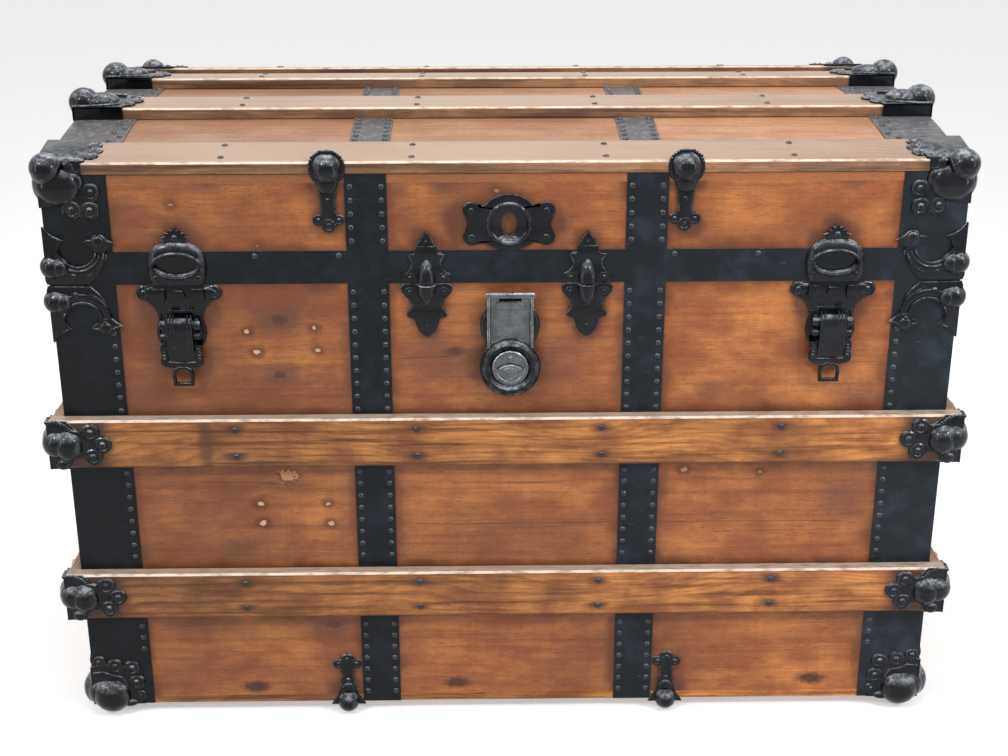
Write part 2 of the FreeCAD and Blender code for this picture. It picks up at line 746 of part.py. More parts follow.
def slat_end_casting():
    """The cap over the end of an inner lid slat, with a ball standing on its top edge."""
    near = "(lid_slat_step/2 - lid_slat_width/2)"
    far = "(lid_slat_step/2 + lid_slat_width/2)"
    middle = "(lid_slat_step/2)"
    cap = dome_layer(
        "slat_end_cap", (f"{BAND_LENGTH} - slat_end_cap_reach", f"{BAND_LENGTH} + casting_thickness"),
        (f"{near} - casting_thickness", f"{far} + casting_thickness"),
        "sheet_thickness", f"{LID_LAYER} + casting_thickness")
    lobes = []
    spots = (
        ("slat_end_cap_reach", "slat_end_lobe_spread"), ("slat_end_cap_reach", "-slat_end_lobe_spread"),
        ("slat_end_lobe_reach", 0))
    for count, (reach, side) in enumerate(spots):
        lobes.append(prism(
            f"slat_end_lobe_{count}", "z", 6, "slat_end_lobe_radius",
            ("lid_edge_height", "lid_edge_height + lid_room"),
            (f"{BAND_LENGTH} - {reach}", f"{middle} + {side}")))
    flange = under_dome(
        "slat_end_flange", fuse("slat_end_lobes", *lobes), f"{LID_LAYER} + casting_thickness")
    top = dome_height(middle, LID_LAYER)
    knob = ball(
        "slat_end_ball", "slat_end_ball_radius", (f"{HALF_LENGTH} - slat_end_ball_inset", middle, top))
    room = box("slat_end_room", (0, BAND_LENGTH), (near, far), ("split_height", FAR))
    wood_room = box("slat_end_wood_room", (0, BAND_LENGTH), (0, HALF_DEPTH), ("split_height", FAR))
    return cut(
        "slat_end_casting", fuse("slat_end", cap, flange, knob),
        under_dome("slat_end_slat", room, LID_LAYER),
        under_dome("slat_end_wood", wood_room, "sheet_thickness"))


def meeting_casting(name, ball_height, crescent_height, base, arm):
    """A crescent bumper at the front corner beside the opening line. base and arm are its Z spans."""
    centre = (f"{HALF_LENGTH} - crescent_inset", crescent_height)
    out_x = (BAND_LENGTH, f"{BAND_LENGTH} + casting_thickness")
    out_y = (BAND_DEPTH, f"{BAND_DEPTH} + casting_thickness")
    disc = prism(f"{name}_disc", "y", 24, "crescent_outer_radius", out_y, centre)
    window = box(f"{name}_window", (f"{centre[0]} - crescent_outer_radius", out_x[1]), out_y, arm)
    hole = prism(f"{name}_hole", "y", 24, "crescent_inner_radius", (0, FAR), centre)
    crescent = cut(f"{name}_crescent", common(f"{name}_arc", disc, window), hole)
    tip_x = f"{centre[0]} - (crescent_outer_radius + crescent_inner_radius)/2"
    pieces = fuse(
        name, crescent,
        box(f"{name}_base", (centre[0], out_x[1]), out_y, base),
        box(f"{name}_side", out_x, (f"{HALF_DEPTH} - meeting_tab_reach", out_y[1]), base),
        prism(f"{name}_tip", "y", 6, "crescent_tip_radius", out_y, (tip_x, crescent_height)),
        prism(f"{name}_side_tip", "x", 6, "crescent_base_width/2", out_x,
            (f"{HALF_DEPTH} - meeting_tab_reach", f"({base[0]} + {base[1]})/2")),
        ball(f"{name}_ball", "meeting_ball_radius",
             (f"{HALF_LENGTH} - meeting_ball_inset", f"{HALF_DEPTH} - meeting_ball_inset", ball_height)))
    wood = box(f"{name}_wood", (0, BAND_LENGTH), (0, BAND_DEPTH), (0, FAR))
    return mirrored(cut(f"{name}_casting", pieces, wood), "y")


def make_meeting_castings():
    upper = meeting_casting(
        "upper_meeting", "meeting_upper_height", "crescent_upper_height",
        ("(split_height + crescent_gap)", "(split_height + crescent_gap + crescent_base_width)"),
        ("split_height + crescent_gap", "crescent_upper_height"))
    lower = meeting_casting(
        "lower_meeting", "meeting_lower_height", "crescent_lower_height",
        ("(split_height - crescent_gap - crescent_base_width)", "(split_height - crescent_gap)"),
        ("crescent_lower_height", "split_height - crescent_gap"))
    node("lid_meeting_castings", *both_ends(upper))
    node("body_meeting_castings", *both_ends(lower))


def clamp_tail(name, tip, root, toward):
    """The flat tail of an edge clamp: a tip and two ears, and the tail towards its root (+ up, - down)."""
    low, high = (tip, root) if toward == "+" else (root, tip)
    face = (HALF_DEPTH, f"{HALF_DEPTH} + casting_thickness")
    half = "clamp_tail_width/2"
    ear_height = f"{tip} {toward} clamp_ear_radius/2"
    pieces = [
        box(f"{name}_tail", (f"clamp_offset - {half}", f"clamp_offset + {half}"), face, (low, high)),
        prism(f"{name}_tip", "y", 6, half, face, ("clamp_offset", tip))]
    for count, sign in enumerate("+-"):
        ear_x = f"clamp_offset {sign} clamp_ear_spread"
        pieces.append(prism(f"{name}_ear_{count}", "y", 6, "clamp_ear_radius", face, (ear_x, ear_height)))
    return pieces


def lid_edge_clamp():
    """A clamp that ties the front lid slat to the front board: a ball on a round collar."""
    root = "(lid_edge_height + lid_slat_thickness/2)"
    tip = f"({root} - clamp_tail_length)"
    collar = prism(
        "lid_clamp_collar", "y", 12, "clamp_collar_radius",
        (f"{HALF_DEPTH} - clamp_collar_radius", f"{HALF_DEPTH} + clamp_collar_face"),
        ("clamp_offset", root))
    shaped = under_dome("lid_clamp_collar_trimmed", collar, f"{LID_LAYER} + casting_thickness")
    knob = ball(
        "lid_clamp_ball", "lid_clamp_ball_radius",
        ("clamp_offset", f"{HALF_DEPTH} + clamp_collar_face", root))
    room = box("lid_clamp_room", (0, HALF_LENGTH), (0, HALF_DEPTH), ("split_height", FAR))
    solid = fuse("lid_clamp", shaped, knob, *clamp_tail("lid_clamp", tip, root, "+"))
    return mirrored(cut("lid_clamp_casting", solid, under_dome("lid_clamp_wood", room, LID_LAYER)), "y")


def bottom_edge_clamp():
    """A clamp under the front edge of the floor, with its three-lobed tip upwards."""
    root = "runner_height"
    tip = "(runner_height + foot_clamp_length)"
    skirt = padded(
        "foot_clamp_skirt", "y", (HALF_DEPTH, f"{HALF_DEPTH} + clamp_collar_face"), [
            ("clamp_offset - clamp_collar_radius", root), ("clamp_offset + clamp_collar_radius", root),
            ("clamp_offset + clamp_tail_width/2", "runner_height + clamp_collar_radius"),
            ("clamp_offset - clamp_tail_width/2", "runner_height + clamp_collar_radius")])
    knob = ball(
        "foot_clamp_ball", "foot_clamp_ball_radius",
        ("clamp_offset", f"{HALF_DEPTH} + clamp_collar_face", "runner_height + clamp_collar_face"))
    room = box("foot_clamp_wood", (0, HALF_LENGTH), (0, HALF_DEPTH), ("runner_height", "split_height"))
    solid = fuse("foot_clamp", skirt, knob, *clamp_tail("foot_clamp", tip, root, "-"))
    return mirrored(cut("foot_clamp_casting", solid, room), "y")


def make_castings():
    corners = []
    for height in ("upper_slat_height", "lower_slat_height"):
        corners.extend(four_corners(slat_corner_casting(height)))
    node("slat_corner_castings", *corners)
    node("bottom_corner_castings", *four_corners(bottom_corner_casting()))
    node("lid_corner_castings", *four_corners(lid_corner_casting()))
    node("lid_slat_end_castings", *four_corners(slat_end_casting()))
    make_meeting_castings()
    node("lid_edge_clamps", *both_ends(lid_edge_clamp()))
    node("bottom_edge_clamps", *both_ends(bottom_edge_clamp()))


# ---------------------------------------------------------------- lid hinges

def make_hinges():
    """Two back hinges: each has a leaf on the body, a leaf on the lid and a headed pin."""
    axis = (f"({HALF_DEPTH} + hinge_axis_offset)", "split_height")
    left, right = "(hinge_offset - hinge_leaf_width/2)", "(hinge_offset + hinge_leaf_width/2)"
    near, far = "(hinge_offset - hinge_middle_knuckle/2)", "(hinge_offset + hinge_middle_knuckle/2)"
    bore = prism("hinge_bore", "x", 12, "hinge_bore_radius", (left, right), axis)
    body_face = (HALF_DEPTH, f"{HALF_DEPTH} + hinge_leaf_thickness")
    lid_face = (BAND_DEPTH, f"{BAND_DEPTH} + hinge_leaf_thickness")
    pieces = [box(
        "body_leaf", (left, right), body_face,
        ("split_height - hinge_leaf_height", "split_height - hinge_leaf_gap"))]
    for span in ((left, f"{near} - hinge_knuckle_gap"), (f"{far} + hinge_knuckle_gap", right)):
        pieces.append(prism("body_knuckle", "x", 12, "hinge_knuckle_radius", span, axis))
        pieces.append(box(
            "body_web", span, body_face, ("split_height - hinge_leaf_gap", "split_height - hinge_web_gap")))
    node("hinge_body_leaves", *both_ends(cut("body_hinge", fuse("body_hinge_solid", *pieces), bore)))
    lid_leaf = fuse(
        "lid_hinge_solid",
        box("lid_leaf", (left, right), lid_face,
            ("split_height + hinge_leaf_gap", "split_height + hinge_leaf_height")),
        prism("lid_knuckle", "x", 12, "hinge_knuckle_radius", (near, far), axis),
        box("lid_web", (near, far), lid_face,
            ("split_height + hinge_web_gap", "split_height + hinge_leaf_gap")))
    node("hinge_lid_leaves", *both_ends(cut("lid_hinge", lid_leaf, bore)))
    node("hinge_pins", *both_ends(headed_pin(
        "hinge_pin", "hinge_pin_radius", "hinge_head_radius", (left, right), axis)))


def headed_pin(name, radius, head_radius, span, axis):
    """A round pin along X with a peened head beyond each end of its span."""
    left, right = span
    return fuse(
        name, prism(f"{name}_shank", "x", 12, radius, span, axis),
        prism(f"{name}_left_head", "x", 6, head_radius, (f"{left} - pin_head", left), axis),
        prism(f"{name}_right_head", "x", 6, head_radius, (right, f"{right} + pin_head"), axis))


# ---------------------------------------------------------------- lock

HASP_Y = f"({WALL} - hasp_axis_offset)"
HASP_AXIS = (HASP_Y, "hasp_axis_height")
HASP_ROUND = ("lock_offset", "(hasp_axis_height - hasp_length)")


def make_hasp():
    """The hasp: a rimmed plate on a bar, open round the curled bracket, with a boss that seats the lock."""
    left, right = "(lock_offset - hasp_half_width)", "(lock_offset + hasp_half_width)"
    low, high = HASP_ROUND[1], "(hasp_axis_height - hasp_slot_depth)"
    front, back = f"({HASP_Y} - hasp_face)", f"({HASP_Y} + hasp_back)"
    pieces = [
        box("hasp_sheet", (left, right), (front, back), (low, high)),
        prism("hasp_bar", "x", 12, "hasp_bar_radius", (left, right), HASP_AXIS),
        faceted("hasp_boss", "y", 24, (
            ("hasp_boss_top_radius", "-hasp_boss_face"), ("hasp_boss_radius", "-hasp_face"),
            ("hasp_boss_radius", "hasp_back")), (HASP_ROUND[0], HASP_Y, HASP_ROUND[1]))]
    for rim in ((left, f"{left} + hasp_rim_width"), (f"{right} - hasp_rim_width", right)):
        pieces.append(box("hasp_rim", rim, (f"{HASP_Y} - hasp_rim_face", back), (low, high)))
    arms = ((left, "lock_offset - hasp_slot_half_width"), ("lock_offset + hasp_slot_half_width", right))
    for arm in arms:
        pieces.append(box("hasp_arm", arm, (front, f"{HASP_Y} + hasp_face"), (high, "hasp_axis_height")))
    seat = prism(
        "lock_seat", "y", 24, "lock_seat_radius",
        (f"{HASP_Y} - hasp_boss_face - 1", f"{HASP_Y} - lock_seat_floor"), HASP_ROUND)
    node("lock_hasp", cut("hasp", fuse("hasp_solid", *pieces), seat))


def make_lock_tongue():
    """The lock cylinder's disc and its eye-shaped tongue, which turns behind the keyway."""
    disc_face = f"({HASP_Y} - lock_disc_face)"
    disc = prism(
        "lock_disc", "y", 24, "lock_disc_radius", (disc_face, f"{HASP_Y} - lock_seat_floor"), HASP_ROUND)
    lens = padded("lock_lens", "y", (f"{HASP_Y} - lock_tongue_face", disc_face), [
        ("lock_offset - lock_tongue_length/2", HASP_ROUND[1], "lock_tongue_bend"),
        ("lock_offset + lock_tongue_length/2", HASP_ROUND[1], "lock_tongue_bend")])
    node("lock_tongue", fuse("lock_turn", disc, lens))


def make_lock_back_plate():
    """The plate behind the hasp, with the bracket that curls round the hasp's bar."""
    width = ("lock_offset - curl_half_width", "lock_offset + curl_half_width")
    curl = cut(
        "curl", prism("curl_outside", "x", 12, "curl_radius", width, HASP_AXIS),
        prism("curl_inside", "x", 12, "curl_bore_radius", width, HASP_AXIS))
    node("lock_back_plate", fuse(
        "back_plate", curl,
        faceted("back_boss", "y", 24, (
            ("back_plate_radius - back_plate_bevel", "-back_plate_face"), ("back_plate_radius", 0)),
            ("lock_offset", WALL, "back_plate_height")),
        box("curl_strap", width, (f"{HASP_Y} + curl_strap_gap", WALL),
            ("hasp_axis_height - curl_bore_radius/2", "hasp_axis_height + curl_bore_radius/2")),
        box("curl_base", ("lock_offset - back_plate_half_width", "lock_offset + back_plate_half_width"),
            (f"{WALL} - lock_sheet", WALL), ("back_plate_height", "hasp_axis_height + hasp_slot_depth"))))


def make_lock_socket():
    """The four-lobed plate on the lid with the cup that the tongue turns in."""
    centre = ("lock_offset", "socket_height")
    sheet = (f"{WALL} - lock_sheet", WALL)
    pieces = [
        prism("socket_disc", "y", 20, "socket_disc_radius", sheet, centre),
        box("socket_web", ("lock_offset - socket_lobe_spread", "lock_offset + socket_lobe_spread"), sheet,
            ("socket_height - socket_lobe_rise", "socket_height + socket_lobe_rise")),
        prism("socket_ring", "y", 20, "socket_ring_radius", (f"{WALL} - socket_ring_face", WALL), centre),
        prism("socket_cup", "y", 20, "socket_cup_outside", (WALL, f"{WALL} + socket_cup_depth"), centre)]
    for side in "+-":
        for rise in "+-":
            pieces.append(prism("socket_lobe", "y", 6, "lobe_radius", sheet, (
                f"lock_offset {side} socket_lobe_spread", f"socket_height {rise} socket_lobe_rise")))
    hollow = prism(
        "socket_hollow", "y", 20, "socket_cup_radius",
        (f"{WALL} - hasp_axis_offset", f"{WALL} + socket_cup_depth - socket_cup_floor"), centre)
    keyway = oval(
        "socket_keyway", "keyway_half_width", "keyway_half_height",
        (f"{WALL} - hasp_axis_offset", f"{WALL} + socket_recess_depth"), centre)
    node("lock_socket_plate", cut("socket", fuse("socket_solid", *pieces), hollow, keyway))


def make_lock():
    make_hasp()
    make_lock_tongue()
    make_lock_back_plate()
    make_lock_socket()


# ---------------------------------------------------------------- draw latches

LATCH_Y = f"({WALL} - latch_axis_offset)"
LATCH_AXIS = (LATCH_Y, "latch_axis_height")
KEEPER_WALL = f"({WALL} - sheet_thickness)"


def across(half):
    """The span of a latch part about the latch's middle."""
    return (f"latch_offset - {half}", f"latch_offset + {half}")


def beside(near, far):
    """The two spans at the left and the right of the latch's middle."""
    return (
        (f"latch_offset - {far}", f"latch_offset - {near}"),
        (f"latch_offset + {near}", f"latch_offset + {far}"))


def leaf_plate(name, face, middle, root, half_width, height, half):
    """A plate across Y from the right half of its outline, in shares of a half width and a height."""
    def corner(side, out, rise):
        return (f"{middle} {side} {half_width}*{out}", f"{root} + ({height})*{rise}")
    right = [corner("+", out, rise) for out, rise in half]
    left = [corner("-", out, rise) for out, rise in reversed(half) if out]
    return padded(name, "y", face, right + left)


def make_latch_base(bore):
    """The base plate: two riveted wings at the top, a tapering foot, guide blocks and two bored lugs."""
    right_edge = ((0.42, 1), (0.55, 0.74), (0.6, 0.37), (0.95, 0.21), (1, 0.06), (0.9, 0))
    pieces = [leaf_plate(
        "latch_plate", (f"{WALL} - latch_sheet", WALL), "latch_offset", "latch_plate_top",
        "latch_plate_half_width", "-latch_plate_height", right_edge)]
    lug_z = ("latch_axis_height - latch_barrel_radius", "latch_axis_height + latch_barrel_radius")
    for span in beside("latch_lug_near", "latch_lug_far"):
        pieces.append(prism("latch_lug", "x", 12, "latch_barrel_radius", span, LATCH_AXIS))
        pieces.append(box("latch_lug_web", span, (LATCH_Y, f"{WALL} - latch_sheet/2"), lug_z))
    for span in beside("latch_block_near", "latch_block_far"):
        pieces.append(box(
            "latch_block", span, (f"{WALL} - latch_block_face", f"{WALL} - latch_sheet/2"),
            ("latch_block_low", "latch_block_high")))
    node("latch_base_plates", *both_ends(cut("latch_base", fuse("latch_base_solid", *pieces), bore)))


def make_latch_swing(bore):
    """The moving latch: a barrel, an arched strap, a frame with a window, and a pull ring."""
    z = "latch_axis_height"
    strap_foot = f"{z} - latch_strap_length"
    strap = padded("latch_strap", "x", across("latch_strap_half_width"), [
        (f"{LATCH_Y} - 1", f"{z} + 4"), (f"{LATCH_Y} - latch_barrel_radius", z, "latch_strap_bend"),
        (f"{LATCH_Y} - latch_frame_half_thickness", strap_foot),
        (f"{LATCH_Y} + latch_frame_half_thickness", strap_foot, "-latch_strap_bend"),
        (f"{LATCH_Y} - 1", f"{z} - 3")])
    thick = (f"{LATCH_Y} - latch_frame_half_thickness", f"{LATCH_Y} + latch_frame_half_thickness")
    thin = (f"{LATCH_Y} - latch_ring_half_thickness", f"{LATCH_Y} + latch_ring_half_thickness")
    through = (f"{LATCH_Y} - latch_axis_offset", f"{LATCH_Y} + latch_axis_offset")
    solid = fuse(
        "latch_swing_solid", strap,
        prism("latch_barrel", "x", 12, "latch_barrel_radius", across("latch_strap_half_width"), LATCH_AXIS),
        box("latch_frame", across("latch_frame_half_width"), thick,
            (f"{z} - latch_frame_bottom", f"{z} - latch_frame_top")),
        box("latch_ring", across("latch_ring_half_width"), thin,
            (f"{z} - latch_ring_bottom", f"{z} - latch_frame_bottom + 1")))
    window = box(
        "latch_window", across("(latch_frame_half_width - latch_frame_bar)"), through,
        (f"{z} - latch_frame_bottom + latch_frame_bar", f"{z} - latch_window_top"))
    hole = box(
        "latch_ring_hole", across("(latch_ring_half_width - latch_ring_bar)"), through,
        (f"{z} - latch_ring_bottom + latch_ring_bar", f"{z} - latch_frame_bottom - 2"))
    notch = box(
        "latch_notch", across("(latch_strap_half_width + latch_notch_gap)"),
        (f"{LATCH_Y} + latch_frame_half_thickness + latch_notch_gap", through[1]), (strap_foot, z))
    swing = cut("latch_swing", solid, bore, window, hole, notch)
    node("right_latch", swing)
    node("left_latch", mirrored(swing, "x"))


def make_latch_keeper():
    """The keeper on the lid: a domed shield with an oval recess and a pointed tip."""
    sheet = (f"{KEEPER_WALL} - latch_sheet", KEEPER_WALL)
    shield = fuse(
        "keeper_solid",
        box("keeper_foot", across("keeper_radius"), sheet, ("split_height + keeper_gap", "keeper_height")),
        faceted("keeper_dome", "y", 20, (("keeper_front_radius", "-keeper_face"), ("keeper_radius", 0)),
                ("latch_offset", KEEPER_WALL, "keeper_height")),
        box("keeper_neck", across("keeper_neck_half_width"), sheet, ("keeper_height", "keeper_tip_height")),
        prism("keeper_tip", "y", 6, "keeper_tip_radius", sheet, ("latch_offset", "keeper_tip_height")))
    below = box("keeper_below", across("keeper_radius"), (LATCH_Y, WALL), (0, "split_height + keeper_gap"))
    recess = oval(
        "keeper_recess", "keeper_recess_half_width", "keeper_recess_half_height",
        (LATCH_Y, f"{KEEPER_WALL} - keeper_recess_floor"), ("latch_offset", "keeper_height - 1"))
    node("latch_keepers", *both_ends(cut("keeper", shield, below, recess)))


def make_latches():
    bore = prism("latch_bore", "x", 12, "latch_bore_radius", across("latch_block_far"), LATCH_AXIS)
    make_latch_base(bore)
    node("latch_pins", *both_ends(headed_pin(
        "latch_pin", "latch_pin_radius", "latch_head_radius", across("latch_lug_far"), LATCH_AXIS)))
    make_latch_swing(bore)
    make_latch_keeper()


# ---------------------------------------------------------------- guide dowels

def dowel_plate(name, face, root, toward, half):
    return leaf_plate(
        name, face, "dowel_offset", root, "dowel_plate_half_width", f"{toward}dowel_plate_height", half)


def dowel_acorn(name, flat, toward):
    """The acorn-shaped bulge, from its flat end at the opening line to its tip up (+) or down (-)."""
    rings = []
    for width, reach in ((1, 0), (1, 0.2), (0.75, 0.62), (0.15, 1)):
        rings.append((f"dowel_acorn_radius*{width}", f"{toward}dowel_acorn_length*{reach}"))
    return faceted(name, "z", 10, rings, ("dowel_offset", f"{KEEPER_WALL} - dowel_sheet", flat))


def make_dowels():
    """Two-part guides beside the lock: a pin on the lid that enters a bored half on the body."""
    lid_flat = "(split_height + dowel_meeting_gap)"
    body_flat = "(split_height - dowel_meeting_gap)"
    upper_half = (
        (0, 1), (0.4, 0.77), (0.4, 0.65), (0.68, 0.62), (0.54, 0.46), (0.66, 0.34), (0.94, 0.26), (1, 0.15),
        (0.86, 0))
    lower_half = (
        (0.86, 0), (1, 0.16), (0.82, 0.3), (0.62, 0.38), (0.72, 0.54), (0.44, 0.6), (0.36, 0.8), (0, 0.97))
    axis = ("dowel_offset", f"{WALL} - dowel_axis_offset")
    pin = prism("dowel_pin", "z", 8, "dowel_pin_radius", ("dowel_pin_low", "dowel_pin_high"), axis)
    upper = fuse(
        "dowel_upper", pin, dowel_acorn("upper_acorn", lid_flat, "+"),
        dowel_plate(
            "dowel_upper_plate", (f"{KEEPER_WALL} - dowel_sheet", KEEPER_WALL), lid_flat, "", upper_half))
    side = ("dowel_offset - 3*dowel_acorn_radius", "dowel_offset + 3*dowel_acorn_radius")
    upper_wood = box("dowel_lid_wood", side, (KEEPER_WALL, 0), (0, FAR))
    node("dowel_pins", *both_ends(cut("dowel_lid_half", upper, upper_wood)))
    lower = fuse(
        "dowel_lower", dowel_acorn("lower_acorn", body_flat, "-"),
        dowel_plate(
            "dowel_lower_plate", (f"{KEEPER_WALL} - dowel_sheet", WALL), body_flat, "-", lower_half))
    lower_wood = box("dowel_body_wood", side, (WALL, 0), (0, FAR))
    bore = prism("dowel_bore", "z", 8, "dowel_bore_radius", ("dowel_bore_low", "split_height"), axis)
    node("dowel_sockets", *both_ends(cut("dowel_body_half", lower, lower_wood, bore)))


# ---------------------------------------------------------------- leather handles

def make_handles():
    """A bowed leather strap on each end, held in two hooded caps."""
    inner = f"({HALF_LENGTH} + handle_plate_thickness)"
    outer = f"({inner} + handle_strap_thickness)"
    bow = "((handle_half_span^2 + handle_bow^2)/(2*handle_bow))"
    strap_z = ("handle_height - handle_strap_width/2", "handle_height + handle_strap_width/2")
    strap = padded("handle_strap", "z", strap_z, [
        (inner, "-handle_end_reach"), (outer, "-handle_end_reach"), (outer, "-handle_half_span", bow),
        (outer, "handle_half_span"), (outer, "handle_end_reach"), (inner, "handle_end_reach"),
        (inner, "handle_half_span", f"-{bow}"), (inner, "-handle_half_span")])
    node("right_handle_strap", strap)
    node("left_handle_strap", mirrored(strap, "x"))
    hood_x = (HALF_LENGTH, f"{inner} + handle_hood_height")
    hood = fuse(
        "handle_hood",
        box("hood_block", hood_x, ("handle_half_span + handle_hood_margin", "handle_end_reach"),
            ("handle_height - handle_hood_radius", "handle_height + handle_hood_radius")),
        prism("hood_end", "x", 16, "handle_hood_radius", hood_x, ("handle_end_reach", "handle_height")),
        box("hood_plate", (HALF_LENGTH, inner),
            ("handle_half_span - handle_plate_inner", "handle_end_reach + handle_plate_outer"),
            ("handle_height - handle_plate_half_width", "handle_height + handle_plate_half_width")))
    room = box("hood_room", (inner, outer), (0, "handle_end_reach"), strap_z)
    node("handle_caps", *four_corners(cut("handle_cap", hood, room)))


# ---------------------------------------------------------------- check and write

def check_and_write():
    DOC.recompute()
    for item in DOC.Objects:
        if {"Invalid", "Error"} & set(item.State):
            raise RuntimeError(f"{item.Label} failed: {item.State}")
    for item in NODES:
        shape = item.Shape
        if shape.isNull() or not shape.isValid() or not shape.Solids:
            raise RuntimeError(f"{item.Label} has no valid solid")
    os.makedirs("parts", exist_ok=True)
    for item in NODES:
        item.Shape.exportStep(f"parts/{item.Label}.step")
        print(f"{item.Label}: {len(item.Shape.Solids)} solids, {item.Shape.Volume / 1000:.1f} cm3")
    print(f"{len(NODES)} nodes")


fill_sheet()
make_case()
make_lid()
make_bands()
make_slats()
make_castings()
make_hinges()
make_lock()
make_latches()
make_dowels()
make_handles()
check_and_write()
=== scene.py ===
# %% [markdown]
# A slatted trunk with a low domed lid, dressed over its CAD frame. The frame gives every position in
# metres. Drawing is easier in millimetres, so each shape is drawn in millimetres and made smaller
# once, as it becomes an object.

# %% Start: the frame and its sizes
import math
from functools import partialmethod

import bmesh
import bpy
from mathutils import Matrix, Vector


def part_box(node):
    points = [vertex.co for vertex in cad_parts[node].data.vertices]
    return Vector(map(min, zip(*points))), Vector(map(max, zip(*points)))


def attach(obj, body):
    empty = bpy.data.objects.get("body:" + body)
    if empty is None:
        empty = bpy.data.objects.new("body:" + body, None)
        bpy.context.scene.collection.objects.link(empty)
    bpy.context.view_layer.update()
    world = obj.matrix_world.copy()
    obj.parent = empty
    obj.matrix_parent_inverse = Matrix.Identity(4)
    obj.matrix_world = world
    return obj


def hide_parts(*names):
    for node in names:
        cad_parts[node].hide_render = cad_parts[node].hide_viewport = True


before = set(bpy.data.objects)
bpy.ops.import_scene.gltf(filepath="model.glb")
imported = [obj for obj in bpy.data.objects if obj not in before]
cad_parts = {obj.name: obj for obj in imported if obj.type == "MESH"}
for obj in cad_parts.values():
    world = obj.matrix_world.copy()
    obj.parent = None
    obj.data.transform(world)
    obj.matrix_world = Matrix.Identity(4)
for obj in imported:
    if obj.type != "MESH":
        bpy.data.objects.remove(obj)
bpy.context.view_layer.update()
MM = 0.001


def box_mm(node):
    """Lowest and highest corner of a CAD node in millimetres."""
    return [[value / MM for value in corner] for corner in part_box(node)]


HALF_LENGTH, HALF_DEPTH, FLOOR_TOP = box_mm("bottom_board")[1]
SPLIT = box_mm("upper_front_board")[1][2]
BAND_X, BAND_Y, VALANCE_TOP = box_mm("valance_band")[1]
SLAT_LOW, SLAT_HIGH = box_mm("front_slats")
SLAT_X, SLAT_Y = SLAT_HIGH[0], -SLAT_LOW[1]
SLAT_WIDTH, SLAT_PITCH = 50, 167.5
SLAT_HEIGHTS = [SLAT_HIGH[2] - SLAT_WIDTH / 2 - drop for drop in (0, SLAT_PITCH)]
LID_EDGE, CROWN = 576, 24
DOME_RADIUS = (HALF_DEPTH ** 2 + CROWN ** 2) / (2 * CROWN)
LID_SLAT_STEP, LID_SLAT_WIDTH, LID_SLAT_THICK = 152, 49, 11
SHEET = 0.8
LID_SLAT_TOP = SHEET + LID_SLAT_THICK
MIDDLE_BANDS = (111.5, 150.5)
CORNER_BAND_WIDTH = 61
CORNER_BAND = HALF_LENGTH - CORNER_BAND_WIDTH
print("case", HALF_LENGTH, HALF_DEPTH, "opening line", SPLIT, "valance top", round(VALANCE_TOP, 1))

# %% [markdown]
# Every new piece passes through the same last step. It is scaled to metres, its faces are turned
# outwards, sharp edges are kept sharp, and it is hung on the CAD body that carries it. Castings are
# drawn thick, so what reaches deep into the boards is first moved to just under their outer faces.
# Otherwise it would show inside the trunk.


# %% Helper: from a drawing to a piece on its body
SINK, NEAR = 5, 32
MERGE = 0.01


def dome(y, above=0):
    """Height of the domed top, or of a layer above it, at a distance from the middle."""
    centre = LID_EDGE + CROWN - DOME_RADIUS
    return centre + math.sqrt((DOME_RADIUS + above) ** 2 - y * y)


def keep_out(bm):
    """Leaves nothing deeper than SINK under an outer face, if that face is nearer than NEAR."""
    for vert in bm.verts:
        x, y, z = vert.co
        roof = dome(min(abs(y), HALF_DEPTH), -SINK)
        depths = (HALF_LENGTH - SINK - abs(x), HALF_DEPTH - SINK - abs(y), z - FLOOR_TOP + SINK, roof - z)
        if min(depths) > 0:
            if depths[0] < NEAR:
                vert.co.x += math.copysign(depths[0], x)
            if depths[1] < NEAR:
                vert.co.y += math.copysign(depths[1], y)
            if depths[2] < NEAR:
                vert.co.z -= depths[2]
            elif depths[3] < NEAR:
                vert.co.z += depths[3]
    bmesh.ops.remove_doubles(bm, verts=bm.verts, dist=MERGE)


def add_object(name, data):
    item = bpy.data.objects.new(name, data)
    bpy.context.scene.collection.objects.link(item)
    return item


def to_mesh(name, bm):
    mesh = bpy.data.meshes.new(name)
    bm.to_mesh(mesh)
    bm.free()
    return mesh


def piece(name, bm, body, material, slot, replaces=(), sharp=40):
    """Makes the drawing an object that moves with its body and may take a CAD node's place."""
    if slot == "black_castings":
        keep_out(bm)
    bmesh.ops.recalc_face_normals(bm, faces=bm.faces)
    bmesh.ops.scale(bm, vec=(MM, MM, MM), verts=bm.verts)
    mesh = to_mesh(name, bm)
    mesh.shade_smooth()
    mesh.set_sharp_from_angle(angle=math.radians(sharp))
    mesh.materials.append(material)
    item = add_object(name, mesh)
    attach(item, body)
    if replaces:
        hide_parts(*replaces)
    print(name, len(mesh.polygons), "faces")


# %% [markdown]
# A shape is drawn once and stamped many times. It lies on a face of its own: u and v run along the
# face and w stands out of it. These matrices lay it on the front or on the right end of the trunk,
# and the mirrors give the other corners. Linked copies would do as well, but one mesh for each piece
# stays in one place and exports as one part.


# %% Helper: shapes, faces and mirrors
def drawing(draw):
    """Gives a drawing function an empty mesh to draw in, and keeps the result as a shape."""
    def run(*given):
        bm = bmesh.new()
        draw(bm, *given)
        bmesh.ops.recalc_face_normals(bm, faces=bm.faces)
        return to_mesh(draw.__name__, bm)
    return run


def stamp(bm, shape, matrix):
    """Adds a copy of a shape, laid through a matrix."""
    start = len(bm.verts)
    bm.from_mesh(shape)
    bm.verts.ensure_lookup_table()
    bmesh.ops.transform(bm, matrix=matrix, verts=bm.verts[start:])


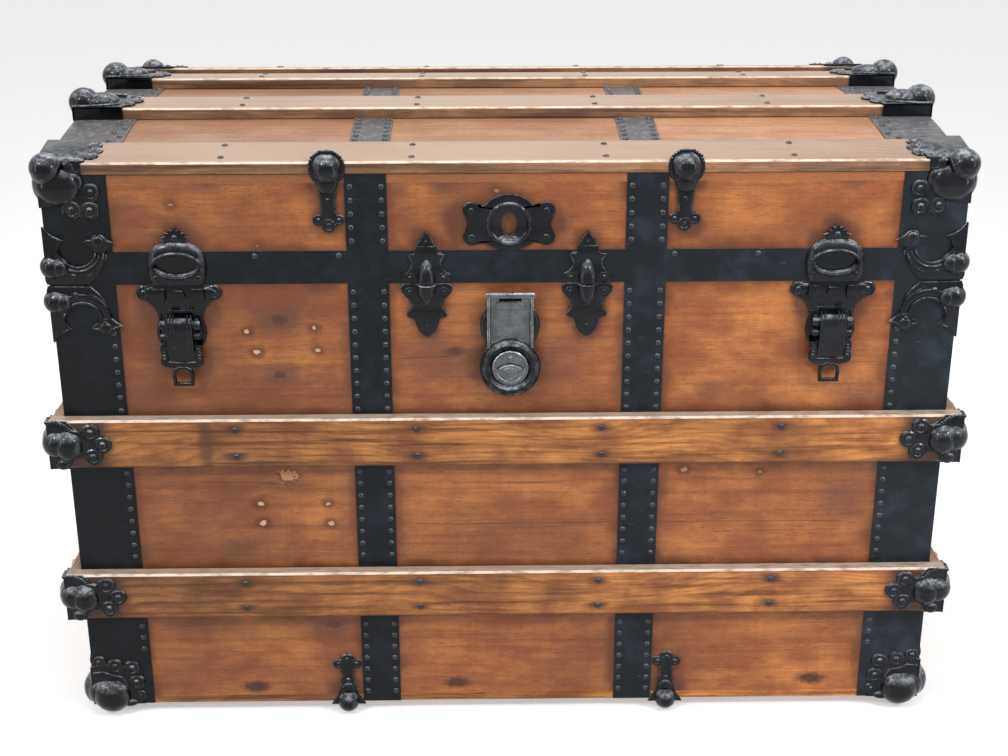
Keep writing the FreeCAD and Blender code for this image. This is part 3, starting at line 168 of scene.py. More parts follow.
def on_face(x, y, z=0):
    """u to the right from x, v up from z, w forwards from the face at -y."""
    return Matrix(((1, 0, 0, x), (0, 0, -1, -y), (0, 1, 0, z), (0, 0, 0, 1)))


def on_front(x, y, z=0):
    """The same, but u runs from the corner at x towards the middle."""
    return Matrix(((-1, 0, 0, x), (0, 0, -1, -y), (0, 1, 0, z), (0, 0, 0, 1)))


def on_end(x, y, z=0):
    """u towards the back from -y, v up from z, w to the right from the face at x."""
    return Matrix(((0, 0, 1, x), (1, 0, 0, -y), (0, 1, 0, z), (0, 0, 0, 1)))


def mirrors(*signs):
    return [Matrix.Diagonal((x, y, 1, 1)) for x, y in signs]


IN_PLACE = Matrix()
ONCE = mirrors((1, 1))
FRONT_CORNERS = mirrors((1, 1), (-1, 1))
ALL_CORNERS = mirrors((1, 1), (-1, 1), (1, -1), (-1, -1))

# %% [markdown]
# Forms that come back all over the trunk: a plate with an eased edge, a rivet, and the cast ball.
# A bevel modifier could ease the edges; the bevel is done in the mesh so that a plate can be stamped.
# The ball is a sphere whose outer cap is a touch smaller than the rest, which leaves the step that a
# two-part mould leaves on a real casting.


# %% Helper: plates, rivets and balls
def extruded(bm, faces, offset):
    """Pushes faces along an offset and returns the vertices that went with them."""
    grown = bmesh.ops.extrude_face_region(bm, geom=faces)["geom"]
    ends = [item for item in grown if isinstance(item, bmesh.types.BMVert)]
    bmesh.ops.translate(bm, vec=offset, verts=ends)
    return ends


def ease_edges(bm, edges, ease, segments=2):
    bmesh.ops.bevel(bm, geom=edges, offset=ease, segments=segments, profile=0.5, affect="EDGES",
                    material=-1, clamp_overlap=True)


def rim_of(bm, top, sharper_than=-1):
    """Edges between vertices of the top, if their two faces meet at more than an angle in radians."""
    top = set(top)
    return [edge for edge in bm.edges if len(edge.link_faces) == 2 and all(vert in top for vert in edge.verts)
            and edge.calc_face_angle(0) > sharper_than]


def add_plate(bm, outline, low, high, ease=0.7, segments=2):
    """A plate from its outline in (u, v), between two heights, with an eased upper edge."""
    before = set(bm.verts)
    face = bm.faces.new([bm.verts.new((u, v, low)) for u, v in outline])
    top = extruded(bm, [face], (0, 0, high - low))
    ease_edges(bm, rim_of(bm, top), ease, segments)
    return [vert for vert in bm.verts if vert not in before]


def both_sides(half):
    """A whole outline from its right half; points on the middle line are not doubled."""
    return half + [(-u, v) for u, v in reversed(half) if u]


def about(degrees, axis):
    return Matrix.Rotation(math.radians(degrees), 3, axis)


def facing(toward):
    return Vector((0, 0, 1)).rotation_difference(Vector(toward)).to_matrix()


def moved(bm, verts, offset=(0, 0, 0), scale=(1, 1, 1), turn=None):
    """Scales, then turns, then shifts."""
    bmesh.ops.scale(bm, vec=scale, verts=verts)
    if turn:
        bmesh.ops.rotate(bm, cent=(0, 0, 0), matrix=turn, verts=verts)
    bmesh.ops.translate(bm, vec=offset, verts=verts)
    return verts


def add_dome(bm, u, v, w, radius, height, sides=12, rings=4):
    """A low dome, as a rivet or nail head."""
    made = bmesh.ops.create_uvsphere(bm, u_segments=sides, v_segments=rings * 2, radius=1)["verts"]
    moved(bm, made, (u, v, w), (radius, radius, height))


def add_ball(bm, centre, radius, toward, stretch=(1, 1, 1), step=0.05, cap=0.22):
    """A cast ball whose outer cap faces a direction and stands back by a small step."""
    made = bmesh.ops.create_uvsphere(bm, u_segments=32, v_segments=20, radius=radius)["verts"]
    for vert in made:
        if vert.co.z < cap * radius:
            vert.co *= 1 + step
    moved(bm, made, turn=facing(toward))
    moved(bm, made, centre, stretch)


ball = drawing(add_ball)

# %% [markdown]
# Finishes are node networks on Object coordinates, so a pattern stays put on the trunk from every side
# and needs no unwrapping. Networks of this size could be built by hand in the editor, but sums of masks
# are easier to read as sums. A small class wraps a node's output, and every plus or times on it adds one
# Math node.


# %% Helper: node outputs that can be added and multiplied
def add(tree, kind, inputs=None, **settings):
    """Adds a node; an input is a number, a colour or the output of another node."""
    item = tree.nodes.new("ShaderNode" + kind)
    for name, setting in settings.items():
        setattr(item, name, setting)
    for key, source in (inputs or {}).items():
        if isinstance(source, Output):
            tree.links.new(source.socket, item.inputs[key])
        else:
            item.inputs[key].default_value = source
    return item


class Output:
    """The output of a node, in the tree it belongs to."""

    def __init__(self, tree, socket):
        self.tree, self.socket = tree, socket

    def node(self, kind, inputs, output=0, **settings):
        return Output(self.tree, add(self.tree, kind, inputs, **settings).outputs[output])

    def maths(self, operation, other=0.0):
        return self.node("Math", {0: self, 1: other}, operation=operation)

    # Each of these is maths() with its operation filled in.
    __add__ = partialmethod(maths, "ADD")
    __sub__ = partialmethod(maths, "SUBTRACT")
    __mul__ = partialmethod(maths, "MULTIPLY")
    __abs__ = partialmethod(maths, "ABSOLUTE")
    least = partialmethod(maths, "MINIMUM")
    most = partialmethod(maths, "MAXIMUM")

    def flipped(self):
        return self.node("Math", {0: 1.0, 1: self}, operation="SUBTRACT")

    def span(self, start, stop, low=0.0, high=1.0):
        """Passes smoothly from low to high as this value goes from start to stop."""
        inputs = {"Value": self, "From Min": start, "From Max": stop, "To Min": low, "To Max": high}
        return self.node("MapRange", inputs, interpolation_type="SMOOTHSTEP")

    def parts(self):
        split = add(self.tree, "SeparateXYZ", {0: self})
        return [Output(self.tree, socket) for socket in split.outputs]

    def noise(self, scale, detail=3.0, rough=0.55):
        return self.node("TexNoise", {"Vector": self, "Scale": scale, "Detail": detail, "Roughness": rough})

    def streaks(self, stretch, detail=3.0, rough=0.55):
        """Noise with a scale for each direction."""
        return self.node("VectorMath", {0: self, 1: stretch}, operation="MULTIPLY").noise(1.0, detail, rough)

    def brightened(self, factor):
        return self.node("VectorMath", {0: self, "Scale": factor}, operation="SCALE")


# %% [markdown]
# A finish starts as a material with a few plain numbers. Colours are then laid over one another by
# masks, as glazes are, and the result is led to the shader together with roughness and a bump height.
# CAD pieces whose shape is already right keep their mesh and only get a material.


# %% Helper: from colours and masks to a material
def mix(mask, first, second):
    """The first colour where the mask is 0 and the second where it is 1."""
    item = add(mask.tree, "Mix", {0: mask}, data_type="RGBA")
    for index, source in ((6, first), (7, second)):
        if isinstance(source, Output):
            mask.tree.links.new(source.socket, item.inputs[index])
        else:
            item.inputs[index].default_value = (*source, 1)
    return Output(mask.tree, item.outputs[2])


def finish(name, roughness, metallic=0.0, **plain):
    """A material with its plain numbers set; returns it with its shader and the object's coordinates."""
    item = bpy.data.materials.new(name)
    item.use_nodes = True
    tree = item.node_tree
    shader = tree.nodes["Principled BSDF"]
    for key, setting in {"Roughness": roughness, "Metallic": metallic, **plain}.items():
        shader.inputs[key.replace("_", " ")].default_value = setting
    return item, shader, Output(tree, add(tree, "TexCoord").outputs["Object"])


def dress(shader, colour, roughness, height, distance, strength):
    """Leads colour, roughness and bump height to the shader; roughness may be left out."""
    tree = colour.tree
    tree.links.new(colour.socket, shader.inputs["Base Color"])
    if roughness:
        tree.links.new(roughness.socket, shader.inputs["Roughness"])
    bump = add(tree, "Bump", {"Height": height, "Distance": distance, "Strength": strength})
    tree.links.new(bump.outputs[0], shader.inputs["Normal"])


def own_normal(tree):
    """The normal in the piece's own space, so that what it steers holds when the piece swings."""
    return Output(tree, add(tree, "TexCoord").outputs["Normal"])


def paint(material, *nodes):
    """Gives CAD nodes a material."""
    for node in nodes:
        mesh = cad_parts[node].data
        mesh.materials.clear()
        mesh.materials.append(material)
    print(material.name, "on", ", ".join(nodes))


# %% [markdown]
# The camera stands a little over a metre and a half in front of the trunk and looks down on it, with a
# slight turn to the side. The long lens keeps the front nearly square.


# %% Camera
def add_camera(lens, location, down, roll, aside):
    """Angles in degrees: down from level, roll about the view, aside from straight ahead."""
    camera = add_object("camera", bpy.data.cameras.new("camera"))
    camera.data.lens = lens
    camera.data.sensor_width = 36
    camera.location = location
    camera.rotation_euler = [math.radians(angle) for angle in (90 - down, roll, aside)]
    bpy.context.scene.camera = camera
    print("camera at", tuple(round(value, 3) for value in camera.location))


add_camera(55.36, (-0.0256, -1.655, 0.912), 20.99, 0.06, -0.952)

# %% [markdown]
# Paper and world look plain white to the camera and in reflections, so that metal and glass show that
# background too. A bright world alone would do that, but it would wash out the wood. So for the light
# that falls on the trunk both keep a lower level: its colours stay as written, and the paper still shows
# its shadow. Small lamps in front and above give bright glints on the round castings, and two narrow
# strips at the sides draw their edges.


# %% Floor, world and lamps
WORLD_LEVEL, PAPER_GLOW = 0.44, 0.42
WHITE = (1, 1, 1, 1)
PAPER = (0.85, 0.85, 0.85, 1)
LOOK_AT = Vector((0, 0, 0.3))
LAMPS = {
    "soft_left": ((0.32, 0.26), 18, (-1.3, -1.6, 2.0)), "soft_right": ((0.32, 0.26), 18, (1.5, -1.4, 1.7)),
    "top_back": ((0.9, 0.2), 11, (0.0, 0.5, 2.2)), "top_front": ((1.2, 0.06), 8, (0.0, -0.8, 1.9)),
    "strip_left": ((0.05, 1.0), 3.2, (-1.5, -1.0, 0.7)), "strip_right": ((0.05, 1.0), 3.2, (1.5, -1.0, 0.7))}


def leveled(tree, low, high):
    """high for what the camera, reflections and glass see, low for the light that falls on things."""
    rays = add(tree, "LightPath").outputs
    camera, glossy, glass = [
        Output(tree, rays[name]) for name in ("Is Camera Ray", "Is Glossy Ray", "Is Transmission Ray")]
    seen = camera.most(glossy).most(glass)
    return seen.node("MapRange", {"Value": seen, "To Min": low, "To Max": high}).socket


def add_surroundings():
    bm = bmesh.new()
    bmesh.ops.create_grid(bm, x_segments=1, y_segments=1, size=12)
    floor = add_object("floor", to_mesh("floor", bm))
    paper, shader, _ = finish("floor_paper", 0.9, Base_Color=PAPER, Emission_Color=WHITE)
    tree = paper.node_tree
    tree.links.new(leveled(tree, 0, PAPER_GLOW), shader.inputs["Emission Strength"])
    floor.data.materials.append(paper)
    world = bpy.data.worlds.new("studio")
    world.use_nodes = True
    bpy.context.scene.world = world
    tree = world.node_tree
    background = tree.nodes["Background"]
    background.inputs["Color"].default_value = WHITE
    tree.links.new(leveled(tree, WORLD_LEVEL, 1), background.inputs["Strength"])


def add_lamp(name, size, power, location):
    lamp = add_object(name, bpy.data.lights.new(name, "AREA"))
    lamp.data.shape = "RECTANGLE"
    lamp.data.size, lamp.data.size_y = size
    lamp.data.energy = power
    lamp.location = location
    lamp.rotation_euler = (LOOK_AT - Vector(location)).to_track_quat("-Z", "Y").to_euler()


add_surroundings()
for lamp_name, lamp_values in LAMPS.items():
    add_lamp(lamp_name, *lamp_values)
bpy.context.scene.view_settings.view_transform = "Standard"
print("lamps:", len(LAMPS))

# %% [markdown]
# Sawn wood is the same idea everywhere: long fibres, growth lines that wander and bow round the knots,
# short dark pores, soft clouds where the varnish lies thicker, and the fine upright marks of the saw.
# A Wave texture would draw the lines too evenly, so most masks are noise squeezed along the grain. One
# node group makes them all, and each wood then gives them its own colours.


# %% Node group: wood figure
def new_group(name, vectors, numbers, results):
    """An empty group with its sockets; returns it with its inputs by name and its output node."""
    tree = bpy.data.node_groups.new(name, "ShaderNodeTree")
    for kind, way, names in (("Vector", "INPUT", vectors), ("Float", "INPUT", numbers), ("Float", "OUTPUT", results)):
        for socket in names:
            tree.interface.new_socket(socket, in_out=way, socket_type=f"NodeSocket{kind}")
    source = tree.nodes.new("NodeGroupInput")
    return tree, {socket.name: Output(tree, socket) for socket in source.outputs}, tree.nodes.new("NodeGroupOutput")


def masks_of(tree, group, **inputs):
    """Uses a group in a material and returns its outputs by name."""
    used = add(tree, "Group", inputs, node_tree=group)
    return {socket.name: Output(tree, socket) for socket in used.outputs}


def wood_figure():
    results = ("Streaks", "Growth", "Pores", "Saw", "Blotch", "Cloud", "Fibre")
    tree, given, out = new_group("wood_figure", ["Vector"], ["Wander", "Lines", "Knot"], results)
    place = given["Vector"]
    _, y, z = place.parts()
    bow = (place.streaks((3.2, 9, 9), 2.0) - 0.5) * given["Wander"]
    wave = ((z + y * 0.35 + bow + given["Knot"] * 0.03) * given["Lines"]).maths("FRACT")
    masks = {
        "Streaks": place.streaks((5, 180, 180), 5.0, 0.65),
        "Growth": wave * wave.span(0.80, 1.0).flipped(),
        "Pores": place.streaks((90, 620, 620), 2.0).span(0.64, 0.72),
        "Saw": place.streaks((520, 14, 14)),
        "Blotch": place.streaks((5, 8, 8)),
        "Cloud": place.streaks((17, 30, 30), 4.0, 0.6),
        "Fibre": place.streaks((110, 800, 800), 3.0, 0.7)}
    for name, mask in masks.items():
        tree.links.new(mask.socket, out.inputs[name])
    return tree


FIGURE = wood_figure()

# %% [markdown]
# Where iron lies on old varnished pine a dark stain creeps out from under it. On the trunk that is a
# dark stain beside every band and slat and round the castings, with a wider painted shade over it where
# these raised parts shade the boards. It is worked out as a distance on the board: to the nearest upright
# line, to the nearest level line, and to a list of round spots.
# Knots, chips, screws and smudges are lists of spots too, each (x, z, radius) in millimetres. A crack is
# (height, first x, last x, slope, strength). A painted texture could hold all this, but distances stay
# sharp at any size.


# %% Helper: distances on a board
def nearest(gaps):
    found = gaps[0]
    for gap in gaps[1:]:
        found = found.least(gap)
    return found


def nearest_line(value, lines):
    """Distance from a coordinate to the nearest of some values."""
    return nearest([abs(value - line * MM) for line in lines])


def nearest_spot(across, up, spots, flatness=1.0):
    """Distance to the nearest of some circles; a low flatness draws them long."""
    flat = across.node("CombineXYZ", {0: across * flatness, 1: up})
    centres = [(x * MM * flatness, z * MM, 0) for x, z, _ in spots]
    reach = [flat.node("VectorMath", {0: flat, 1: centre}, "Value", operation="DISTANCE") for centre in centres]
    return nearest([gap - spot[2] * MM for gap, spot in zip(reach, spots)])


BAND_LINES = (CORNER_BAND, MIDDLE_BANDS[1], MIDDLE_BANDS[0])
SLAT_TOPS = [height + SLAT_WIDTH / 2 for height in SLAT_HEIGHTS]
SLAT_LINES = [height + side for height in SLAT_HEIGHTS for side in (-SLAT_WIDTH / 2, SLAT_WIDTH / 2)]
LEVEL_LINES = SLAT_LINES + [SPLIT, VALANCE_TOP]
HARDWARE_SPOTS = (
    (3, 427, 26), (3, 389, 29), (76, 446, 17), (76, 428, 9), (310, 440, 26), (310, 456, 36), (310, 400, 20),
    (76, 505, 14), (310, 496, 28), (310, 520, 12), (3, 528, 27), (36, 528, 17), (-32, 528, 17), (166, 574, 16),
    (166, 550, 7), (166, 530, 12), (166, 52, 10), (166, 26, 16))
KNOTS = (
    (-277, 567, 3.5), (-58, 566, 3), (322, 570, 2.6), (-217, 435, 7.5), (-219, 379, 6.5), (-270, 190, 3),
    (-178, 103, 7.5), (-104, 558, 2.8), (196, 362, 2))
SCREWS = (
    (-262, 30, 3.5), (-52, 33, 3.5), (318, 34, 3.5), (-50, 402, 1.6))
CHIPS = (
    (-248, 423, 2.2), (-184, 426, 1.8), (-240, 402, 2.6), (-182, 404, 2), (-246, 241, 2.8), (-244, 220, 3),
    (-178, 241, 1.8), (-176, 219, 2.6), (-312, 548, 1.8), (-234, 508, 1.4), (-10, 560, 2), (176, 275, 3),
    (252, 272, 1.6))
SMUDGES = (
    (-361, 356, 16), (-222, 444, 12), (-205, 452, 4), (-67, 393, 12), (47, 386, 6), (60, 398, 5),
    (-330, 300, 6), (-190, 115, 10), (345, 352, 8), (120, 250, 6), (-360, 540, 8), (340, 245, 10))
PUTTY, KEYWAY = (-217, 272, 6.6), (3, 527, 8)
CRACKS = (
    (266, -300, -232, -0.03, 0.8), (217.5, -90, 330, 0.0, 0.55), (242, -360, -290, 0.02, 0.35),
    (262, -10, 60, 0.03, 0.5), (206, 210, 330, 0.012, 0.4), (395, -105, -60, 0.04, 0.7))
print(len(HARDWARE_SPOTS) + len(KNOTS) + len(SCREWS) + len(CHIPS) + len(SMUDGES), "spots,", len(CRACKS), "cracks")

# %% [markdown]
# Marks of use on the varnished boards: smudges, knots with a dark heart, screws, chips that show raw
# wood, a knot hole filled with putty, and cracks, which are long thin lines that wander a little. Each
# kind of spot is one or two rings of colour round a distance.


# %% Marks and cracks
STAIN, KNOT_RING, KNOT_HEART = (0.040, 0.014, 0.009), (0.095, 0.040, 0.028), (0.045, 0.022, 0.017)
SMUDGE, RAW_WOOD = (0.12, 0.040, 0.028), (0.55, 0.33, 0.19)
FILLER, LIT_KEYWAY_WOOD = (0.45, 0.25, 0.10), (1.0, 0.56, 0.20)


def add_cracks(colour, x, z, ragged):
    for *place, slope, strength in CRACKS:
        height, start, stop = [value * MM for value in place]
        off = abs(z - (x - start) * slope - height + ragged)
        along = x.span(start - 0.006, start) * x.span(stop, stop + 0.01, 1, 0)
        colour = mix(off.span(0.0001, 0.0011, strength, 0.0) * along, colour, STAIN)
    return colour


def add_marks(colour, x, z, jitter):
    """Each kind of spot: its flatness, how ragged it is, and its rings as (start, stop, strength, colour)."""
    for spots, flatness, ragged, rings in (
            (SMUDGES, 0.8, 4.0, [(-0.004, 0.024, 0.52, SMUDGE)]),
            (KNOTS, 0.6, 1.0, [(-0.002, 0.012, 0.62, KNOT_RING), (-0.0045, -0.0015, 0.75, KNOT_HEART)]),
            (SCREWS, 0.45, 1.0, [(-0.0005, 0.006, 0.9, STAIN)]),
            (CHIPS, 0.8, 1.0, [(0.0, 0.007, 0.65, STAIN), (-0.0009, 0.0, 1.0, RAW_WOOD)]),
            ((PUTTY,), 0.75, 3.0, [(0.0, 0.003, 0.8, STAIN), (-0.001, 0.0003, 1.0, FILLER)]),
            # Painted light: the wood seen through the keyway is painted much brighter than raw wood, as if lit inside
            # the hole.
            ((KEYWAY,), 1.0, 0.0, [(0.002, 0.003, 1.0, LIT_KEYWAY_WOOD)])):
        off = nearest_spot(x, z, spots, flatness) + jitter * ragged
        for start, stop, strength, shade in rings:
            colour = mix(off.span(start, stop, strength, 0.0), colour, shade)
    return colour


# %% [markdown]
# Varnished pine, the main finish: orange-brown, darker at the left and lighter at the right, which is
# painted light as if from the right, with soft clouds, faint growth lines that bow round the knots, and the
# saw's upright marks. A photograph of boards could be mapped on instead, but it would not know where the
# bands and knots are. The stain and painted shade beside the iron come last, over everything else.


# %% Finish: varnished pine
LEANING_PINE = (0.36, 0.120, 0.036)
SHADOW_UNDER_LID_SLAT = (0.5722, 0.5752)


def grained(masks, ground, dark, pore, blotch, streaks, growth, pores):
    """Lays blotches, streaks, growth lines and pores over a ground colour."""
    for mask, shade in ((masks["Blotch"].span(*blotch), dark), (masks["Streaks"].span(*streaks), dark),
                        (masks["Growth"] * growth, dark), (masks["Pores"] * pores, pore)):
        ground = mix(mask, ground, shade)
    return ground


def pine(name, warm, deep, stain=STAIN, turned=False, marks=False, stain_and_shade=False, sheen_top_only=False):
    item, shader, place = finish(name, 0.46, Coat_Weight=0.06, Coat_Roughness=0.25, Specular_IOR_Level=0.3)
    x, y, z = place.parts()
    grain = place.node("CombineXYZ", {0: y, 1: x, 2: z}) if turned else place
    knot = nearest_spot(x, z, KNOTS, 0.5).span(0.0, 0.035, 1.0, 0.0) if marks else 0.0
    masks = masks_of(place.tree, FIGURE, Vector=grain, Wander=0.06, Lines=95, Knot=knot)
    darker = [channel * 0.5 for channel in deep]
    colour = mix(masks["Cloud"].span(0.32, 0.66), warm, deep)
    if sheen_top_only:
        # Only what faces up keeps the paler top colour, which is painted sheen; other faces get LEANING_PINE, a
        # darker pine.
        upward = own_normal(place.tree).parts()[2]
        colour = mix(upward.span(0.4, 0.8), LEANING_PINE, colour)
    colour = grained(masks, colour, darker, stain, (0.42, 0.72, 0.0, 0.65), (0.45, 0.75, 0.0, 0.62), 0.22, 0.45)
    colour = mix(masks["Saw"].span(0.46, 0.70, 0.0, 0.13), colour, darker)
    colour = colour.brightened(masks["Fibre"].span(0.30, 0.70, 0.84, 1.12))
    # Painted light: the pine is lighter towards the right, as if lit from that side.
    colour = colour.brightened(x.span(-0.40, 0.40, 0.70, 1.05))
    if marks:
        colour = add_marks(colour, x, z, (place.noise(190.0) - 0.5) * 0.006)
        colour = add_cracks(colour, x, z, (masks["Streaks"] - 0.5) * 0.006)
    if stain_and_shade:
        # Painted shadow: a dark strip on the front board just under the lid slat.
        colour = mix(z.span(*SHADOW_UNDER_LID_SLAT, 0.0, 0.85), colour, stain)
        # Dark stain from the iron with painted shade beside it: near bands, slats, opening line, valance and
        # castings.
        edge = nearest_line(abs(x), BAND_LINES).least(nearest_line(z, LEVEL_LINES))
        if marks:
            edge = edge.least(nearest_spot(abs(x), z, HARDWARE_SPOTS))
        edge = edge + (place.noise(34.0, 4.0, 0.6) - 0.5) * 0.030
        colour = mix(edge.span(-0.004, 0.012, 0.90, 0.0), colour, stain)
        colour = mix(edge.span(0.0, 0.036, 0.42, 0.0), colour, darker)
    height = masks["Streaks"] + masks["Saw"] * 0.2
    dress(shader, colour, masks["Cloud"].span(0.2, 0.8, 0.34, 0.52), height, 0.0006, 0.45)
    return item


PINE = pine("pine_varnished", (0.60, 0.218, 0.058), (0.33, 0.098, 0.033), marks=True, stain_and_shade=True)
PINE_BACK = pine("pine_back", (0.56, 0.200, 0.056), (0.37, 0.112, 0.036), stain_and_shade=True)
# Painted sheen: the lid top is a paler, greyer copy of the pine, as varnish looks where light glances off it.
PINE_TOP_SHEEN = pine("pine_top_sheen", (0.56, 0.295, 0.160), (0.46, 0.215, 0.105), (0.10, 0.04, 0.025), sheen_top_only=True)
PINE_END = pine("pine_end", (0.50, 0.180, 0.052), (0.33, 0.100, 0.033), turned=True)
paint(PINE, "lower_front_board", "upper_front_board", "lid_front_board")
paint(PINE_BACK, "back_boards", "lid_back_board")
paint(PINE_END, "left_end_boards", "right_end_boards", "lid_right_end", "lid_left_end")
paint(PINE_TOP_SHEEN, "lid_top_boards")

# %% [markdown]
# The slats are a harder wood with a walnut-like figure, made with the same masks in other strengths.
# Every screw sits in a long dark stain, the ends are dark where they go under the castings, and what
# faces up is greyed by dust and a painted sheen, with wear and a painted highlight along the rounded brink.


# %% Finish: slat wood and floor wood
SCREW_COLUMNS = (-264, -88, 92, 267)
SCREW_HEIGHTS = [height + up for height in SLAT_HEIGHTS for up in (-14, 14)]
SCREW_SPOTS = [(x, height, 1) for x in SCREW_COLUMNS for height in SCREW_HEIGHTS]
BRUISES = ((-293, 312, 4), (-100, 312, 6))
LIP_WEAR_AND_HIGHLIGHT, DUST_AND_SHEEN = (0.80, 0.65, 0.52), (0.36, 0.28, 0.22)
SLAT_WARM, SLAT_DEEP = (0.60, 0.240, 0.066), (0.28, 0.095, 0.030)


def add_slat_marks(colour, x, z, streaks, broken):
    """Stains round the screws, a bruise at the left, dark edges, and wear with a painted highlight on the upper
    brink.
    """
    halo = nearest_spot(x, z, SCREW_SPOTS, 0.45) + (streaks - 0.5) * 0.012
    colour = mix(halo.span(0.0, 0.006, 0.85, 0.0), colour, (0.035, 0.018, 0.012))
    bruise = nearest_line(x, [BRUISES[0][0]]) + nearest_spot(x, z, BRUISES) * 0.12
    colour = mix(bruise.span(0.003, 0.012, 0.7, 0.0), colour, (0.07, 0.032, 0.016))
    edge = nearest_line(z, SLAT_LINES)
    colour = mix(edge.span(0.0, 0.0045, 0.55, 0.0), colour, (0.10, 0.048, 0.026))
    # Wear and a painted highlight along the upper brink of each slat.
    brink = nearest_line(z, SLAT_TOPS)
    return mix(brink.span(0.0005, 0.0022, 0.8, 0.0) * broken, colour, LIP_WEAR_AND_HIGHLIGHT)


def slat_finish(name, warm=SLAT_WARM, deep=SLAT_DEEP, dust_and_sheen=DUST_AND_SHEEN, along_y=False, screws=False, dust=0.6):
    item, shader, place = finish(name, 0.42, Coat_Weight=0.05, Coat_Roughness=0.2, Specular_IOR_Level=0.25)
    x, y, z = place.parts()
    grain = place.node("CombineXYZ", {0: y, 1: x, 2: z}) if along_y else place
    masks = masks_of(place.tree, FIGURE, Vector=grain, Wander=0.11, Lines=150)
    upward = own_normal(place.tree).parts()[2]
    dark = [channel * 0.30 for channel in deep]
    colour = mix(masks["Cloud"].span(0.36, 0.64), warm, deep)
    colour = grained(masks, colour, dark, (0.035, 0.016, 0.008), (0.45, 0.72, 0.0, 0.55), (0.46, 0.66, 0.0, 0.85),
                     0.40, 0.55)
    if not along_y:
        # Painted light: the slats are lighter towards the right, as if lit from that side.
        colour = colour.brightened(x.span(-0.36, 0.36, 0.70, 1.24))
        colour = mix(abs(x).span(0.376, 0.398, 0.0, 0.9), colour, (0.030, 0.014, 0.010))
    broken = place.streaks((60, 200, 200), 4.0, 0.6).span(0.32, 0.58, 0.15, 1.0)
    if screws:
        colour = add_slat_marks(colour, x, z, masks["Streaks"], broken)
    # Dust and painted sheen on what faces up, less of it towards the right.
    dust_and_sheen_mask = upward.span(0.30, 0.8) * x.span(0.0, 0.40, dust, dust * 0.7) * masks["Blotch"].span(0.2, 0.6, 0.75, 1.0)
    colour = mix(dust_and_sheen_mask, colour, dust_and_sheen)
    # Wear and a painted highlight on the rounded edges that lean upwards.
    colour = mix(upward.span(0.35, 0.60) * upward.span(0.85, 0.97, 1.0, 0.0) * broken, colour, LIP_WEAR_AND_HIGHLIGHT)
    height = masks["Streaks"] - masks["Pores"] * 0.4
    dress(shader, colour, masks["Streaks"].span(0.2, 0.8, 0.30, 0.48), height, 0.0006, 0.5)
    return item


SLAT = slat_finish("slat_hardwood", screws=True, dust=0.8)
SLAT_LID = slat_finish("slat_hardwood_lid", (0.36, 0.19, 0.095), (0.20, 0.10, 0.055), (0.44, 0.315, 0.235), dust=0.93)
SLAT_SIDE = slat_finish("slat_hardwood_ends", along_y=True)
FLOOR_WOOD = slat_finish("floor_wood")
paint(SLAT, "front_slats", "back_slats")
paint(SLAT_SIDE, "end_slats")
paint(FLOOR_WOOD, "bottom_board", "bottom_runners")

# %% [markdown]
# Old enamel keeps its black on upright faces and in hollows. What leans upwards wears from hands and
# straps and greys with dust, in a broken way, and the same pale colour also paints highlight and sheen
# on tops and rounded edges. Geometry's Pointiness is the usual mask for wear, but it needs a dense mesh.
# The way the surface leans works on coarse plates too. A node group makes that mask once, and bands,
# castings, nails and bare steel each mix in their own pale colour for wear and painted highlight.


# %% Node group: wear and painted highlight on tops
def wear_and_highlight_tops():
    levels = ["Start", "Full", "Flat", "Edge", "Even"]
    tree, given, out = new_group("wear_and_highlight_tops", ["Vector", "Normal"], levels, ["Worn"])
    x, y, z = given["Normal"].parts()
    # Leaning tops and rounded edges: wear and dust, together with painted highlight and glints.
    lean = z.span(given["Start"], given["Full"]) * z.span(0.94, 0.99, 1.0, given["Flat"])
    edge = abs(z).most(abs(x)).most(abs(y)).span(0.78, 0.93, given["Edge"], 0.0)
    broken = given["Vector"].noise(150.0, 4.0, 0.7).span(0.40, 0.66, 0.15, 1.0).most(given["Even"])
    tree.links.new((lean.most(edge) * broken).socket, out.inputs["Worn"])
    return tree


WEAR_AND_HIGHLIGHT_TOPS = wear_and_highlight_tops()


def wear_and_highlight(place, start, full, flat, edge, even):
    """Where the wear and painted highlight start and are full, their share on flat tops and on edges, and their
    least.
    """
    masks = masks_of(place.tree, WEAR_AND_HIGHLIGHT_TOPS, Vector=place, Normal=own_normal(place.tree), Start=start, Full=full,
                     Flat=flat, Edge=edge, Even=even)
    return masks["Worn"]


# %% [markdown]
# The bands are thin sheet iron under old blue-black enamel: dull, and greyed where they face up by dust
# and a painted sheen. The castings have the same colour but are smooth and glossy, with painted glints on
# their tops and rounded edges, as on the nail heads. The hasp and the hinges are bare steel, cloudy and
# pitted, with a painted highlight on rims and tops. A plain black would look like plastic, so a soft cloud
# changes both the colour and the gloss, and thin scratches cross it. All enamel is painted lighter
# towards the right, as if lit from that side.


# %% Finish: band enamel, casting enamel, nails and steels
def enamel(name, dark, light, wear_and_highlight_colour, levels, low, high, gloss, coat=0.0):
    """levels are those of worn(); roughness runs from low to high."""
    item, shader, place = finish(name, 0.4, Specular_IOR_Level=gloss, Coat_Weight=coat, Coat_Roughness=0.07)
    cloud = place.noise(38.0, 5.0, 0.6)
    colour = mix(cloud.span(0.42, 0.72), dark, light)
    scratch = place.streaks((60, 900, 300), 2.0).span(0.68, 0.76, 0.0, 0.5)
    colour = mix(scratch, colour, [channel * 3 for channel in light])
    # Painted light: all enamel is lighter towards the right, as if lit from that side.
    colour = colour.brightened(place.parts()[0].span(-0.43, 0.43, 0.7, 2.6))
    # Wear and dust together with painted sheen and glints where the surface leans up or rounds over.
    colour = mix(wear_and_highlight(place, *levels), colour, wear_and_highlight_colour)
    dress(shader, colour, cloud.span(0.3, 0.7, low, high), cloud + place.noise(900.0), 0.0003, 0.3)
    return item


